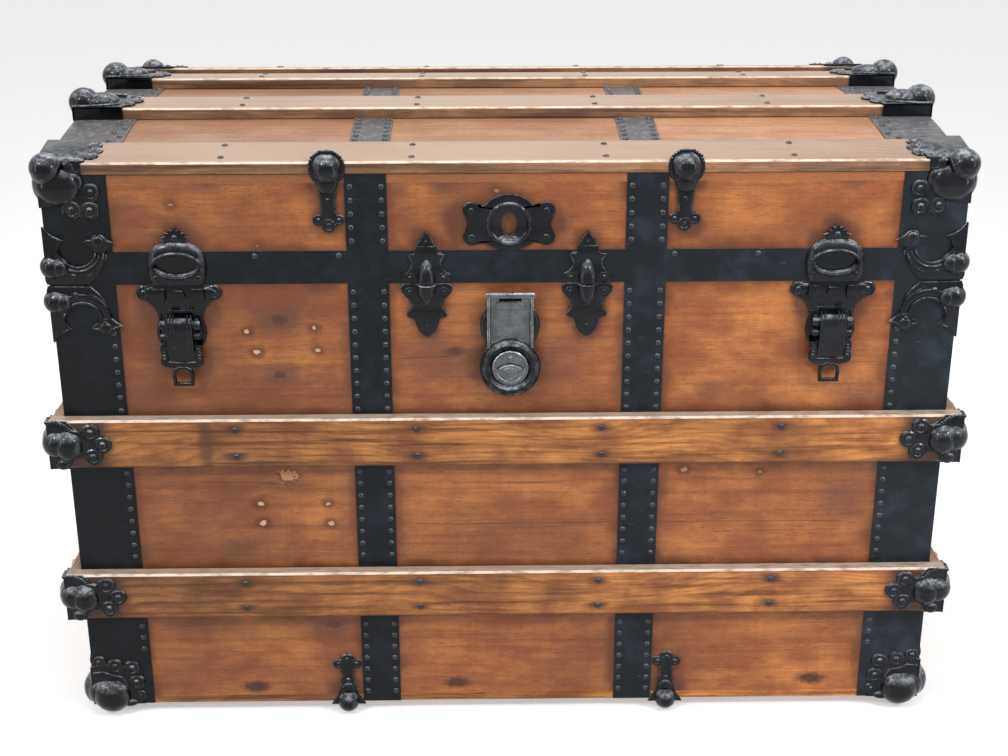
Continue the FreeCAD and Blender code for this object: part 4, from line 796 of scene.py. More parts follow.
def steel(name, colour, pale, roughness, pits):
    item, shader, place = finish(name, roughness, 0.85)
    cloud = place.noise(60.0, 5.0, 0.65)
    pitted = place.noise(950.0).span(0.30, 0.48)
    shade = mix(cloud.span(0.35, 0.7), colour, pale)
    shade = mix(pitted.flipped() * pits, shade, (0.03, 0.03, 0.03))
    # Wear together with a painted highlight on the rims and tops of the bare steel.
    shade = mix(wear_and_highlight(place, 0.2, 0.75, 1.0, 0.9, 0.2), shade, (0.55, 0.56, 0.58))
    dress(shader, shade, cloud.span(0.3, 0.7, roughness - 0.08, roughness + 0.12), pitted, 0.0004, 0.5)
    return item


# The third colour of each is wear and dust with painted highlight: sheen on bands, glints on castings and nails.
BAND = enamel("band_enamel", (0.0045, 0.0060, 0.0075), (0.010, 0.013, 0.019), (0.195, 0.185, 0.19),
              (0.45, 0.95, 1.0, 0.0, 0.5), 0.32, 0.46, 0.15)
CAST = enamel("casting_enamel", (0.0014, 0.0018, 0.0028), (0.0035, 0.0045, 0.0065), (0.32, 0.34, 0.38),
              (0.25, 0.85, 0.22, 0.13, 0.0), 0.16, 0.26, 0.10, 0.22)
NAIL = enamel("nail_heads", (0.004, 0.005, 0.006), (0.012, 0.014, 0.017), (0.12, 0.125, 0.14),
              (0.25, 0.80, 1.0, 0.1, 0.4), 0.16, 0.28, 0.40)
STEEL = steel("pitted_steel", (0.078, 0.084, 0.088), (0.145, 0.153, 0.158), 0.33, 0.65)
HINGE_STEEL = steel("hinge_steel", (0.10, 0.10, 0.10), (0.18, 0.18, 0.18), 0.42, 0.5)
paint(BAND, "body_corner_bands", "body_middle_bands", "valance_band", "lid_corner_bands", "lid_end_bands",
      "lid_middle_bands")
paint(HINGE_STEEL, "hinge_body_leaves", "hinge_lid_leaves", "hinge_pins", "latch_pins")
paint(CAST, "handle_caps")

# %% [markdown]
# Thick harness leather for the handles and plain linen for the lining, both of a usual kind. Small
# Voronoi cells stand for the pores of the leather. Two noises, each stretched along one thread, are
# multiplied for the weave, which is far too fine to be modelled.


# %% Finish: leather and lining
def leather():
    item, shader, place = finish("handle_leather", 0.5, Coat_Weight=0.15, Coat_Roughness=0.35)
    cells = place.node("TexVoronoi", {"Vector": place, "Scale": 900.0}, "Distance")
    colour = mix(place.noise(25.0, 4.0).span(0.3, 0.7), (0.11, 0.045, 0.020), (0.055, 0.022, 0.011))
    dress(shader, colour, cells.span(0.0, 0.6, 0.42, 0.6), cells, 0.0006, 0.6)
    return item


def linen():
    item, shader, place = finish("lining_cloth", 0.85)
    weave = place.streaks((1500, 90, 90)) * place.streaks((90, 1500, 1500))
    colour = mix(weave.span(0.12, 0.4), (0.34, 0.27, 0.19), (0.52, 0.44, 0.33))
    dress(shader, colour, None, weave, 0.0005, 0.5)
    return item


LEATHER, LINEN = leather(), linen()
paint(LINEN, "body_lining", "lid_lining")

# %% [markdown]
# Turned forms come from a profile of (radius, height) spun once round. The Screw modifier does the
# same, but the operator can add a form to a mesh that holds others already. A lobe is the little dished
# disc at the end of every flange: a raised rim with a domed rivet in its middle. Many castings have a
# corded edge, which is a row of beads along a short path, or a smooth rim along an arc.


# %% Helper: turned forms, lobes, beads and cords
LOBE_PROFILE = ((0, 0.46), (0.18, 0.43), (0.32, 0.33), (0.40, 0.20), (0.56, 0.19), (0.68, 0.29), (0.84, 0.31),
                (0.96, 0.22), (1, 0))


def add_turned(bm, profile, steps=24, turn=360):
    """Spins a profile of (radius, height) round the w axis."""
    before = set(bm.verts)
    verts = [bm.verts.new((radius, 0, height)) for radius, height in profile]
    edges = [bm.edges.new(pair) for pair in zip(verts, verts[1:])]
    bmesh.ops.spin(bm, geom=verts + edges, cent=(0, 0, 0), axis=(0, 0, 1), angle=math.radians(turn),
                   steps=steps, use_merge=turn == 360, use_duplicate=False)
    bmesh.ops.remove_doubles(bm, verts=[vert for vert in bm.verts if vert not in before], dist=0.001)
    return [vert for vert in bm.verts if vert not in before]


def add_lobe(bm, u, v, radius=8, w=0, lean=1):
    profile = [(r * radius, h * radius * lean) for r, h in LOBE_PROFILE]
    return moved(bm, add_turned(bm, profile, 20), (u, v, w))


def add_beads(bm, path, radius, pitch, w=0.0, flat=0.8):
    for start, stop in zip(path, path[1:]):
        start, stop = Vector((*start, w)), Vector((*stop, w))
        count = max(1, round((stop - start).length / pitch))
        for step in range(count):
            made = bmesh.ops.create_icosphere(bm, subdivisions=2, radius=radius)["verts"]
            moved(bm, made, start.lerp(stop, step / count), (1, 1, flat))


def add_cord(bm, centre, radius, start, stop, thick, w, sides=8, step=8):
    """A smooth raised rim along an arc in degrees: a small circle spun round the arc's centre."""
    turns = [2 * math.pi * n / sides for n in range(sides + 1)]
    profile = [(radius + thick * math.cos(t), thick * math.sin(t)) for t in turns]
    made = add_turned(bm, profile, max(6, round(abs(stop - start) / step)), stop - start)
    moved(bm, made, (*centre, w), turn=about(start, "Z"))


def casting(name, body, nodes, mirrored, *laid, material=CAST, slot="black_castings"):
    """A piece made of shapes, each laid at its place, and again in every mirror."""
    bm = bmesh.new()
    for mirror in mirrored:
        for shape, place in laid:
            stamp(bm, shape, mirror @ place)
    piece(name, bm, body, material, slot, nodes)


# %% [markdown]
# The four slats of the lid are curved with the dome, and hands and straps have rounded their long
# edges, which is what catches the light along the front. A box could be bent and bevelled, but a drawn
# section follows the dome exactly. It is drawn for each slat and pushed out over the whole length.


# %% Lid slats
def slat_section(front, back, overhang, ease=3.0, steps=6):
    """Points (y, z) round a lid slat: its underside, then its top with both edges eased."""
    across = [front + (back - front) * n / steps for n in range(steps + 1)]
    under = [(y, dome(y, SHEET) + 0.05) for y in across]
    under[0] = (front - overhang, under[0][1])
    over = [(y, dome(y, LID_SLAT_TOP)) for y in reversed(across[1:-1])]
    high_back, high_front, edge = dome(back, LID_SLAT_TOP), dome(front, LID_SLAT_TOP), front - overhang
    start = [(back, high_back - ease), (back - 0.3 * ease, high_back - 0.3 * ease), (back - ease, high_back)]
    stop = [(edge + ease, high_front), (edge + 0.3 * ease, high_front - 0.3 * ease), (edge, high_front - ease)]
    return under + start + over + stop


def make_lid_slats():
    bm = bmesh.new()
    for count in range(4):
        front = LID_SLAT_STEP * count - HALF_DEPTH
        points = slat_section(front, front + LID_SLAT_WIDTH, 0.0 if count else 1.5)
        face = bm.faces.new([bm.verts.new((-BAND_X, y, z)) for y, z in points])
        extruded(bm, [face], (2 * BAND_X, 0, 0))
    piece("lid_slats_worn", bm, "lid", SLAT_LID, "slat_wood", ["lid_slats"], sharp=50)


make_lid_slats()

# %% [markdown]
# Slat corners. Each one is a ball where two slats meet, a second smaller hood beside it, and a tab
# that runs out on the slat to a trefoil of riveted lobes. Such a casting could be sculpted in one skin.
# Plates, balls and beads that pass through one another look the same once they are black, and stay
# light. The flange is drawn once for one face, then laid on both faces and mirrored to all the corners.


# %% Slat corner castings
CORNERWARD = (0.6, -0.75, 0.1)


@drawing
def slat_flange(bm):
    add_plate(bm, [(-2, -25), (17, -25), (22, -14), (34, -13), (44, -9), (46, 0), (44, 9), (36, 14), (27, 16),
                   (17, 25), (-2, 25)], 0, 1.7)
    for u, v in ((51, 0), (40, 13), (41, -12.5)):
        add_lobe(bm, u, v, 9)
    add_beads(bm, [(-1, 24), (8, 24.5), (16, 21), (22, 15), (31, 13)], 2.1, 2.6, 1.8)
    add_ball(bm, (11, -20, 0.5), 6.5, (0, -1, 0.5), (1.1, 0.9, 0.7), 0)
    add_ball(bm, (18, -1, -2), 15.5, (1, 0.1, 0.2), (0.92, 1, 0.85))


def at_corner(shape, z=0, x=BAND_X, y=BAND_Y):
    """The same shape on the front and on the end of one corner."""
    return (shape, on_front(x, y, z)), (shape, on_end(x, y, z))


casting("slat_corners", "case", ["slat_corner_castings"], ALL_CORNERS, *[
    laid for height in SLAT_HEIGHTS for laid in (
        *at_corner(slat_flange(), height, SLAT_X, SLAT_Y),
        (ball((SLAT_X - 7, 7 - SLAT_Y, height), 16, CORNERWARD), IN_PLACE))])

# %% [markdown]
# Foot corners: the largest ball, low down where it takes the knocks, with a broad smooth hood and
# five lobes on each face. They are built as the slat corners are, from a flange that is laid on both
# faces, because the two kinds come from one foundry pattern.


# %% Foot corner castings
@drawing
def foot_flange(bm):
    add_plate(bm, [(-2, 12), (52, 12), (50, 24), (48, 34), (46, 48), (38, 56), (26, 60), (10, 60), (-2, 56)],
              0, 1.7, 0.8)
    for u, v, radius in ((41.5, 55, 8.5), (24, 57, 8.5), (45, 38, 8.5), (8, 62, 7), (48, 22, 6)):
        add_lobe(bm, u, v, radius)
    add_beads(bm, [(2, 49), (12, 50), (20, 46), (30, 44), (34, 36), (35, 26)], 1.8, 2.4, 1.6)
    add_ball(bm, (19, 23, 1), 19, (0.9, 0.3, 0.3), (1.0, 0.95, 0.72), 0.03)
    add_ball(bm, (36, 14, 0), 7, (1, 0, 0.3), (1.3, 0.7, 0.7), 0)


casting("foot_corners", "case", ["bottom_corner_castings"], ALL_CORNERS, *at_corner(foot_flange()),
        (ball((HALF_LENGTH - 9, 9 - HALF_DEPTH, 24), 19, CORNERWARD), IN_PLACE))

# %% [markdown]
# Lid corners carry a ball on top of a hanging hood, three lobes on each face, and a cap that folds
# over the end of the outer lid slat. The cap could be modelled on the curve, but it is easier to draw it
# flat and then lift every point by the height of the dome. The ball has a raised seam round it.


# %% Lid corner castings
BALL_TILT = (0.5, -0.5, 0.7)


@drawing
def lid_flange(bm):
    add_plate(bm, [(-2, 546), (8, 547), (16, 550), (21, 545), (27, 535), (36, 537), (44, 534), (53, 543), (49, 552),
                   (55, 560), (47, 568.5), (41.6, 566), (38.5, 580), (-2, 580)], 0, 1.9, 0.9)
    for u, v, radius in ((46.8, 560.4, 8.4), (44.7, 543, 8.9), (27.9, 543.9, 8.9)):
        add_lobe(bm, u, v, radius)
    add_ball(bm, (17, 566, -1), 19, (0, 0, 1), (1.12, 0.98, 0.56), 0)
    add_ball(bm, (33, 570, -1), 9, (0, 0, 1), (0.9, 1.1, 0.6), 0)


def lift_to_dome(verts, above):
    for vert in verts:
        vert.co.z += dome(vert.co.y, above)


@drawing
def lid_cap(bm):
    cap = add_plate(bm, [(388, -252.5), (388, -204), (394, -201.5), (433, -201.5), (433, -252.5)], 0, 2.0, 0.9)
    for x, y in ((384, -240), (382, -228), (385, -215)):
        cap += add_lobe(bm, x, y, 7)
    lift_to_dome(cap, LID_SLAT_TOP)
    face = add_plate(bm, [(391, 0), (433, 0), (433, 13), (391, 13)], 0, 2.0)
    moved(bm, face, (0, -HALF_DEPTH, dome(HALF_DEPTH) + 0.9), turn=about(90, "X"))
    add_ball(bm, (404, -247, 583), 10, (-0.3, -0.4, 0.8), step=0.02)
    add_ball(bm, (423, -256, 584), 14.2, BALL_TILT)
    seam = add_turned(bm, ((14.0, -1.6), (15.0, -1.2), (15.4, 0), (15.0, 1.2), (14.0, 1.6)), 36)
    moved(bm, seam, (421.5, -254.5, 582), turn=facing(BALL_TILT))


casting("lid_corners", "lid", ["lid_corner_castings"], ALL_CORNERS, *at_corner(lid_flange()), (lid_cap(), IN_PLACE))

# %% [markdown]
# The inner lid slats end in a box-like cap with a ball on its edge. Three riveted lobes lie on the
# slat behind it, and a corded rim runs along both sides. The box is three thin plates, two of them
# turned upright, so every edge has the same small rounding.


# %% Slat end castings
@drawing
def slat_end(bm):
    middle, half = LID_SLAT_STEP / 2, LID_SLAT_WIDTH / 2 + 2
    add_plate(bm, [(433, -half), (433, half), (386, half), (381, 20), (379, 6), (379, -6), (381, -20), (386, -half)],
              0, 2.0, 0.9)
    for u, v in ((379, 13), (379, -13), (373, 0)):
        add_lobe(bm, u, v, 7, 0.4)
    for side in (-half, half - 2.2):
        cheek = add_plate(bm, [(383, -12), (433, -12), (433, 2), (383, 2)], side, side + 2.2, 0.8)
        moved(bm, cheek, turn=about(90, "X"))
    end = add_plate(bm, [(-half, -12), (half, -12), (half, 2), (-half, 2)], 431, 433.2, 0.8)
    moved(bm, end, turn=on_end(0, 0).to_3x3())
    for side in (-1, 1):
        rim = ((431, half), (420, half), (408, half - 3), (396, half - 6), (386, half - 8))
        add_beads(bm, [(u, side * v) for u, v in rim], 1.9, 2.4, 2.4)
    add_ball(bm, (408, 0, 1), 14, (-1, 0, 0.5), (1.25, 1.0, 0.62), 0.03)
    lift_to_dome(moved(bm, bm.verts[:], (0, middle, 0)), LID_SLAT_TOP)
    add_ball(bm, (427, middle, dome(middle, LID_SLAT_TOP)), 15, (0.75, -0.2, 0.55))


casting("lid_slat_ends", "lid", ["lid_slat_end_castings"], ALL_CORNERS, (slat_end(), IN_PLACE))

# %% [markdown]
# Beside the opening line sit crescent bumpers: a raised crescent that ends in a small trefoil, a tab
# round the corner, and a ball between them. The crescent's belly is an arc of a turned ring, which
# keeps its section even. v is measured up from the opening line, and the lower casting is the upper one
# turned over, as both were cast from one pattern.


# %% Crescent castings at the opening line
CRESCENT = [
    (55.4, 34), (54.2, 25), (51, 16.5), (46, 8.8), (38.4, 1.5), (-2, 0.8), (-2, 57), (0, 56.4), (4.5, 50), (9, 47),
    (16.5, 43.8), (13, 39.5), (11, 33), (13.5, 26.5), (19.5, 20.5), (28.8, 17.6), (37.5, 20), (43, 25.5), (45.5, 34)]
FLEUR = [
    (45.5, 33), (55.5, 33), (60, 37), (65, 40.4), (61, 42.6), (57, 44.6), (53.6, 48.2), (49.4, 49.6), (45.4, 48.2),
    (42.4, 44.4), (39, 44.6), (35.4, 42.2), (38.8, 39.6), (43, 37.6)]


def add_bar(bm, start, stop, v, half, height, steps=8):
    """A half-round bar along u."""
    turns = [math.pi * n / steps for n in range(steps + 1)]
    verts = [bm.verts.new((start, v + half * math.cos(t), height * math.sin(t))) for t in turns]
    return verts + extruded(bm, [bm.faces.new(verts)], (stop - start, 0, 0))


@drawing
def crescent(bm):
    add_plate(bm, CRESCENT, 0, 2.4, 0.9)
    add_plate(bm, FLEUR, 0, 3.2, 1.0)
    add_cord(bm, (29, 35.5), 18.2, 190, 350, 1.3, 2.6)
    add_cord(bm, (26, 35), 28.6, 292, 356, 1.2, 2.2)
    belly = add_turned(bm, ((19, 0), (20.5, 2.6), (23.5, 3.8), (26.5, 3.0), (28.5, 0)), 24, 150)
    moved(bm, belly, (28.5, 35.5, 0), turn=about(196, "Z"))
    add_ball(bm, (49.4, 42.5, 2), 6.2, (0, 1, 0.5), (1, 0.95, 0.55), 0.02)
    for u, v in ((24, 9.4), (49, 37.5)):
        add_dome(bm, u, v, 2.2, 2.9, 2.6, 14)
    for path, w in (([(57, 43), (61, 41.6), (64, 40.2)], 3.0), ([(42, 43.4), (39, 43.4), (36.4, 42)], 3.0),
                    ([(9, 46.6), (12.5, 45), (15.5, 43.6)], 2.4)):
        add_beads(bm, path, 1.3, 1.9, w)
    add_ball(bm, (12, 17, 0), 9, (1, -0.1, 0.3), (0.9, 1, 0.9), 0.06)


@drawing
def side_tab(bm):
    add_bar(bm, -2, 34, 7.1, 6.5, 3.2)
    add_lobe(bm, 38, 7.1, 6.5, 0.3)


for piece_name, body_name, node_name, flip in (("crescents_upper", "lid", "lid_meeting_castings", 1),
                                               ("crescents_lower", "case", "body_meeting_castings", -1)):
    upright = Matrix.Translation((0, 0, SPLIT)) @ Matrix.Diagonal((1, 1, flip, 1))
    casting(piece_name, body_name, [node_name], FRONT_CORNERS,
            (crescent(), upright @ on_front(BAND_X, BAND_Y)), (side_tab(), upright @ on_end(BAND_X, BAND_Y)),
            (ball((HALF_LENGTH - 3, 3 - HALF_DEPTH, 17), 12, (0.75, -0.6, 0.2)), upright))

# %% [markdown]
# Small clamps tie the lid slat to the front board, and the front board to the floor. Each has a ball
# and a tail that ends in a trefoil with rivets; the upper one also has a corded collar. The two tails
# differ only in length and direction, so one function draws both.


# %% Edge clamps
CLAMP_X = 166


def add_tail(bm, tip, root, sign):
    """The tail on the front face from a trefoil tip to its root; sign is +1 where the root is above."""
    at = [(4, 0), (9, 4), (7, 10), (6, 16), (6.5, 24), (8.5, 34), (11, 42)]
    half = [(u, tip + sign * v) for u, v in at if v < abs(root - tip)] + [(11, root)]
    add_plate(bm, both_sides(half), 0, 1.9, 0.8)
    add_lobe(bm, 0, tip, 7)
    for u in (-9.5, 9.5):
        add_lobe(bm, u, tip + sign * 5, 5.6)
    add_dome(bm, 0, tip + sign * 24, 1.6, 2.6, 1.8)
    for side in (-1, 1):
        path = [(side * u, tip + sign * v) for u, v in ((6.2, 12), (5.6, 20), (8, 33))]
        add_beads(bm, path, 1.1, 1.5, 1.5)


@drawing
def top_clamp(bm):
    root = LID_EDGE + LID_SLAT_THICK / 2
    add_tail(bm, root - 54, root - 6, 1)
    moved(bm, add_turned(bm, ((0, 3), (9, 3), (15, 3.4), (17, 2.2), (17.6, 0)), 28), (0, root, 0))
    collar = ((-15, 5), (-13, 11), (-6, 16), (6, 16), (13, 11), (15, 5))
    add_beads(bm, [(u, root + v) for u, v in collar], 1.7, 2.6, 2.6)
    add_ball(bm, (0, root + 1, 3), 13.5, (-0.3, 0.5, 0.8), step=0.04)
    add_ball(bm, (0, root - 13, 1), 10, (0, -1, 0.3), (1, 1.1, 0.5), 0)


@drawing
def foot_clamp(bm):
    add_tail(bm, 62, 26, -1)
    add_plate(bm, [(-18, 9), (18, 9), (15, 14), (11, 20), (7, 30), (-7, 30), (-11, 20), (-15, 14)], 0, 2.6, 1.0)
    add_ball(bm, (0, 14, 4), 10.5, (0, 0.4, 1), step=0.03)
    add_ball(bm, (0, 26, 1), 8, (0, 1, 0.3), (0.9, 1.1, 0.4), 0)


casting("edge_clamps_top", "lid", ["lid_edge_clamps"], FRONT_CORNERS, (top_clamp(), on_front(CLAMP_X, HALF_DEPTH)))
casting("edge_clamps_bottom", "case", ["bottom_edge_clamps"], FRONT_CORNERS,
        (foot_clamp(), on_front(CLAMP_X, HALF_DEPTH)))

# %% [markdown]
# The lock has four parts. On the lid is a round socket with four lobes and an oval keyway. On the case
# a round plate carries the bar of the hasp, and the hasp hangs from it with the lock cylinder in its
# boss. Sunk and round forms are lofted between closed loops of points.


# %% Helper: lofts and rings
def oval(half_u, half_v, w, u=0, v=0, count=48, power=2):
    """Points round an oval; a power above 2 gives it fuller shoulders."""
    points = []
    for n in range(count):
        turn = 2 * math.pi * n / count
        right, up = math.cos(turn), math.sin(turn)
        points.append((u + half_u * math.copysign(abs(right) ** (2 / power), right),
                       v + half_v * math.copysign(abs(up) ** (2 / power), up), w))
    return points


def add_loft(bm, loops, close=False):
    """Bridges closed loops one after another; close fills the last one."""
    rings = []
    for points in loops:
        verts = [bm.verts.new(point) for point in points]
        rings.append([bm.edges.new((verts[n - 1], verts[n])) for n in range(len(verts))])
    for lower, upper in zip(rings, rings[1:]):
        bmesh.ops.bridge_loops(bm, edges=lower + upper)
    if close:
        bmesh.ops.contextual_create(bm, geom=rings[-1])


def add_ring(bm, outer, inner, low, high, ease=0.8):
    """A flat ring with eased edges between an outer and an inner outline."""
    before = set(bm.verts)
    add_loft(bm, [[(u, v, low) for u, v in outer], [(u, v, low) for u, v in inner]])
    faces = [face for face in bm.faces if not before.intersection(face.verts)]
    top = extruded(bm, faces, (0, 0, high - low))
    ease_edges(bm, rim_of(bm, top, 1), ease)


# %% [markdown]
# The socket is a winged plate with a round hole, and a dish in it that runs from the oval keyway out to
# a raised lip. A boolean could cut the keyway, but it often leaves ragged faces. The loft changes from oval to
# round by itself and keeps its faces clean.


# %% Lock socket on the lid
LOCK_X, SOCKET_Z = 3, 528
SOCKET_HALF = [
    (0, 29), (9, 27.6), (17, 23.5), (22, 18.5), (27, 17), (31, 20), (36, 21), (41, 18.5), (43, 13), (41, 7), (39, 0),
    (41, -7), (43, -12.5), (41, -18), (36, -20.5), (31, -19.5), (26, -17), (21, -19), (15, -22.5), (8, -24.4),
    (0, -25)]


@drawing
def socket_plate(bm):
    for u in (-35, 35):
        for v in (-12.5, 13):
            add_lobe(bm, u, v, 8.2, 0.4, 0.7)
    turns = [math.pi / 2 - 2 * math.pi * n / 40 for n in range(40)]
    add_ring(bm, both_sides(SOCKET_HALF), [(19.5 * math.cos(t), 19.5 * math.sin(t)) for t in turns], 0, 2.0)
    keyway = ((7.3, 11.5, -5), (7.3, 11.5, -2.6), (8.2, 12.4, -2.2))
    dish = ((16.8, 0.4), (17.8, 3.0), (19.2, 3.7), (20.6, 3.2), (21.4, 1.9))
    add_loft(bm, [oval(*size, 0, -1) for size in keyway] + [oval(radius, radius, w) for radius, w in dish])


casting("lock_socket", "lid", ["lock_socket_plate"], ONCE,
        (socket_plate(), on_face(LOCK_X - 1, HALF_DEPTH, SOCKET_Z)))

# %% [markdown]
# The hasp is a pitted steel plate with raised side rims. A bar runs across its top, and its round boss
# below carries the disc that the key turns. The disc has a lens-shaped tongue on a slightly larger black
# plate, which is painted shade round its foot. Plate, boss, disc and that black plate are pieces of their
# own, because their finishes differ and the disc turns.


# %% Hasp, bracket and lock cylinder
HASP_Y = HALF_DEPTH + 9
BAR_Z, BOSS_Z, BACK_Z = 458.5, 389, 428


def arc(v, radius, start, stop, count):
    """Points of an arc round (0, v), in degrees."""
    turns = [math.radians(start + (stop - start) * n / (count - 1)) for n in range(count)]
    return [(radius * math.cos(t), v + radius * math.sin(t)) for t in turns]


@drawing
def hasp_plate(bm):
    low = BOSS_Z - BAR_Z
    plate = [(22, low + 14), (22, 0), (10.5, 0), (10.5, -3.6), (-10.5, -3.6), (-10.5, 0), (-22, 0), (-22, low + 14)]
    add_plate(bm, plate + arc(low, 19.2, 205, -25, 17), -2, 1.2, 0.4)
    for side in (-1, 1):
        rim = add_bar(bm, low + 20, 1.5, 0, 1.9, 3.2)
        moved(bm, rim, (side * 20.6, 0, 0.8), turn=about(90, "Z"))
    bar = add_turned(bm, ((0, -23.4), (2.4, -23.4), (3.1, -22.6), (3.1, 22.6), (2.4, 23.4), (0, 23.4)), 20)
    moved(bm, bar, (0, 2.6, 0.8), turn=about(90, "Y"))
    add_plate(bm, [(-13, -10.8), (13, -10.8), (14, -5.4), (12, -4.2), (-12, -4.2), (-14, -5.4)], 0.8, 3.2, 1.0)


@drawing
def hasp_boss(bm):
    add_turned(bm, ((18.3, -1), (18.3, 2.6), (21.6, 5.2), (22.3, 6.3), (23.4, 6.5), (24.4, 5.6), (26.4, 3.8),
                    (27.8, 2.6), (28.2, 3.2), (29.2, 3.0), (29.4, -2), (18.3, -2), (18.3, -1)), 64)


@drawing
def bracket(bm):
    back = add_turned(bm, ((0, 4.6), (24, 4.8), (26, 4.2), (28.0, 2.6), (28.6, 0)), 56)
    moved(bm, back, (0, BACK_Z - BAR_Z, 0))
    add_plate(bm, [(-17, -30), (17, -30), (17, 1), (-17, 1)], 0, 4.2, 1)


LENS = arc(-13.5, 18, 47.5, 132.5, 13) + arc(13.5, 18, 227.5, 312.5, 13)[1:-1]


@drawing
def lens(bm, wide, high, *levels):
    add_plate(bm, [(u * wide, v * high) for u, v in LENS], *levels)


@drawing
def cylinder(bm):
    add_turned(bm, ((0, 4.4), (13.5, 4.4), (14.2, 5.0), (16.6, 5.1), (17.4, 4.4), (17.4, 3.1), (0, 3.1)), 56)
    for v in (-12.4, 12.4):
        moved(bm, add_turned(bm, ((0, 4.45), (1.2, 4.45), (1.6, 4.9), (2.1, 4.4)), 12), (0, v, 0))
    stamp(bm, lens(1, 1, 4.2, 8.2, 1.6, 3), IN_PLACE)
    stamp(bm, lens(0.6, 0.6, 7.8, 10.2, 1.4, 3), IN_PLACE)


ON_BOSS = on_face(LOCK_X, HASP_Y, BOSS_Z)
casting("hasp_plate", "hasp", ["lock_hasp"], ONCE, (hasp_plate(), on_face(LOCK_X, HASP_Y, BAR_Z)),
        material=STEEL, slot="grey_steel")
casting("hasp_boss", "hasp", [], ONCE, (hasp_boss(), ON_BOSS), slot="grey_steel")
casting("lock_bracket", "case", ["lock_back_plate"], ONCE, (bracket(), on_face(LOCK_X, HALF_DEPTH, BAR_Z)))
casting("lock_cylinder", "lock_tongue", ["lock_tongue"], ONCE, (cylinder(), ON_BOSS),
        material=STEEL, slot="grey_steel")
# Painted shadow: a black plate a little larger than the lens, standing for the shade round its foot.
casting("lock_lens_shade_plate", "lock_tongue", [], ONCE, (lens(1.13, 1.22, 4.4, 5.4, 0.4), ON_BOSS), slot="grey_steel")

# %% [markdown]
# A draw latch stands at each side. The base plate has two riveted wings and two blocks; the moving part
# turns on a pin in the base: a barrel, an arched strap with five ribs, an open frame and a pull ring.
# The arm is drawn with the pin at its origin, so it is easy to see that it stays clear of the base when
# it swings up. A rib could be one long bar, but a row of flat balls follows the arch more softly.


# %% Draw latches
LATCH_X, LATCH_Y, LATCH_Z = 310, HALF_DEPTH + 9.5, 433
BASE_HALF = [(15, -27), (19, -24), (22, -19), (24, -11), (23, -4), (21, 3), (21.5, 8.5), (25, 16), (31, 21.5),
             (38, 24.5), (41, 30), (38, 36.5), (31, 37.4), (20, 37)]
STRAP_LINE = [(7.4, 2.0), (6, 4.3), (3, 5.8), (-1, 6.5), (-6, 6.6), (-12, 6.1), (-18, 5.3), (-24, 4.1), (-30, 2.4),
              (-35, 0.8)]
STRAP_HALF, STRAP_THICK = 12.4, 2.2
SIDE_RIDGE = [(19.4, -20), (21.6, -17), (22.2, -6), (19.6, 4), (20, 9), (18, 9), (17.6, 3), (20, -7), (18.6, -18)]


def block(left, right, low, high):
    return [(left, low), (right, low), (right, high), (left, high)]


@drawing
def latch_base(bm):
    add_plate(bm, both_sides(BASE_HALF), 0, 2.0, 0.8)
    for side in (-1, 1):
        add_lobe(bm, side * 33, 30, 7.6, 0.5, 0.9)
        add_ball(bm, (side * 27, 30, 0), 7, (0, 1, 0.3), (1.1, 0.95, 0.6), 0)
        for outline, *levels in (
                (block(12.6, 24.2, 23, 34.6), 1, 5.9, 0.9), (block(14.4, 22.4, 20.4, 24), 1, 4.4, 0.8),
                (block(13.6, 17.2, -4.4, 4.4), 1, 8.5, 0.4), (SIDE_RIDGE, 1.6, 3.4, 0.5)):
            add_plate(bm, [(side * u, v) for u, v in outline][::side], *levels)
        lug = add_turned(bm, ((2.2, 13.6), (4.5, 13.6), (4.5, 17.8), (3.4, 19.2), (0, 19.2)), 20)
        moved(bm, lug, (0, 0, 9.5), (1, 1, side), about(90, "Y"))
    add_plate(bm, [(-6.2, 26), (6.2, 26), (4.8, 32.6), (-4.8, 32.6)], 1.6, 4.8, 1.2)
    add_plate(bm, [(-14, 8.6), (14, 8.6), (14.6, 10.8), (13.4, 12.8), (-13.4, 12.8), (-14.6, 10.8)], 1.0, 2.5, 0.5)


@drawing
def latch_arm(bm):
    """w is measured from the pin's axis."""
    barrel = add_turned(bm, ((2.3, -13), (4.5, -13), (4.5, 13), (2.3, 13)), 24)
    moved(bm, barrel, turn=about(90, "Y"))
    section = STRAP_LINE + [(v, w - STRAP_THICK) for v, w in reversed(STRAP_LINE)]
    strap = bm.faces.new([bm.verts.new((-STRAP_HALF, v, w)) for v, w in section])
    extruded(bm, [strap], (2 * STRAP_HALF, 0, 0))
    for u in (-11.4, -8.0, 5.4, 8.2, 11.4):
        for (v, w), (v_next, w_next) in zip(STRAP_LINE, STRAP_LINE[1:-1]):
            add_ball(bm, (u, (v + v_next) / 2, (w + w_next) / 2 - 0.6), 2.6, (0, 0, 1), (0.36, 1.6, 0.42), 0)
    for side in (-1, 1):
        pin = add_turned(bm, ((0, 13), (2.9, 13), (2.9, 18), (2.2, 18.8), (0, 18.8)), 16)
        moved(bm, pin, (0, -11, 1.2), (1, 1, side), about(90, "Y"))
        add_beads(bm, [(side * 16.4, -24), (side * 16.8, -37)], 1.9, 3.2, 1.4)
    outer = [(12.6, -20), (19.4, -20.6), (20.2, -26), (18.8, -29), (20, -33), (20.4, -38), (17, -41.4), (9, -42.6)]
    inner = [(12.4, -20.4), (12.7, -24), (13.4, -28), (13.4, -33), (13.2, -36), (12, -37)]
    add_ring(bm, both_sides(outer), both_sides(inner), -1.6, 1.9)
    hole = [(6.8, -57.6), (7.2, -50), (5.8, -45.6), (2.4, -43.4)]
    loop = [(9.6, -60.6), (10.2, -50), (8.6, -43.8), (4, -41.2)]
    add_ring(bm, both_sides(loop), both_sides(hole), -1.6, 3.0)


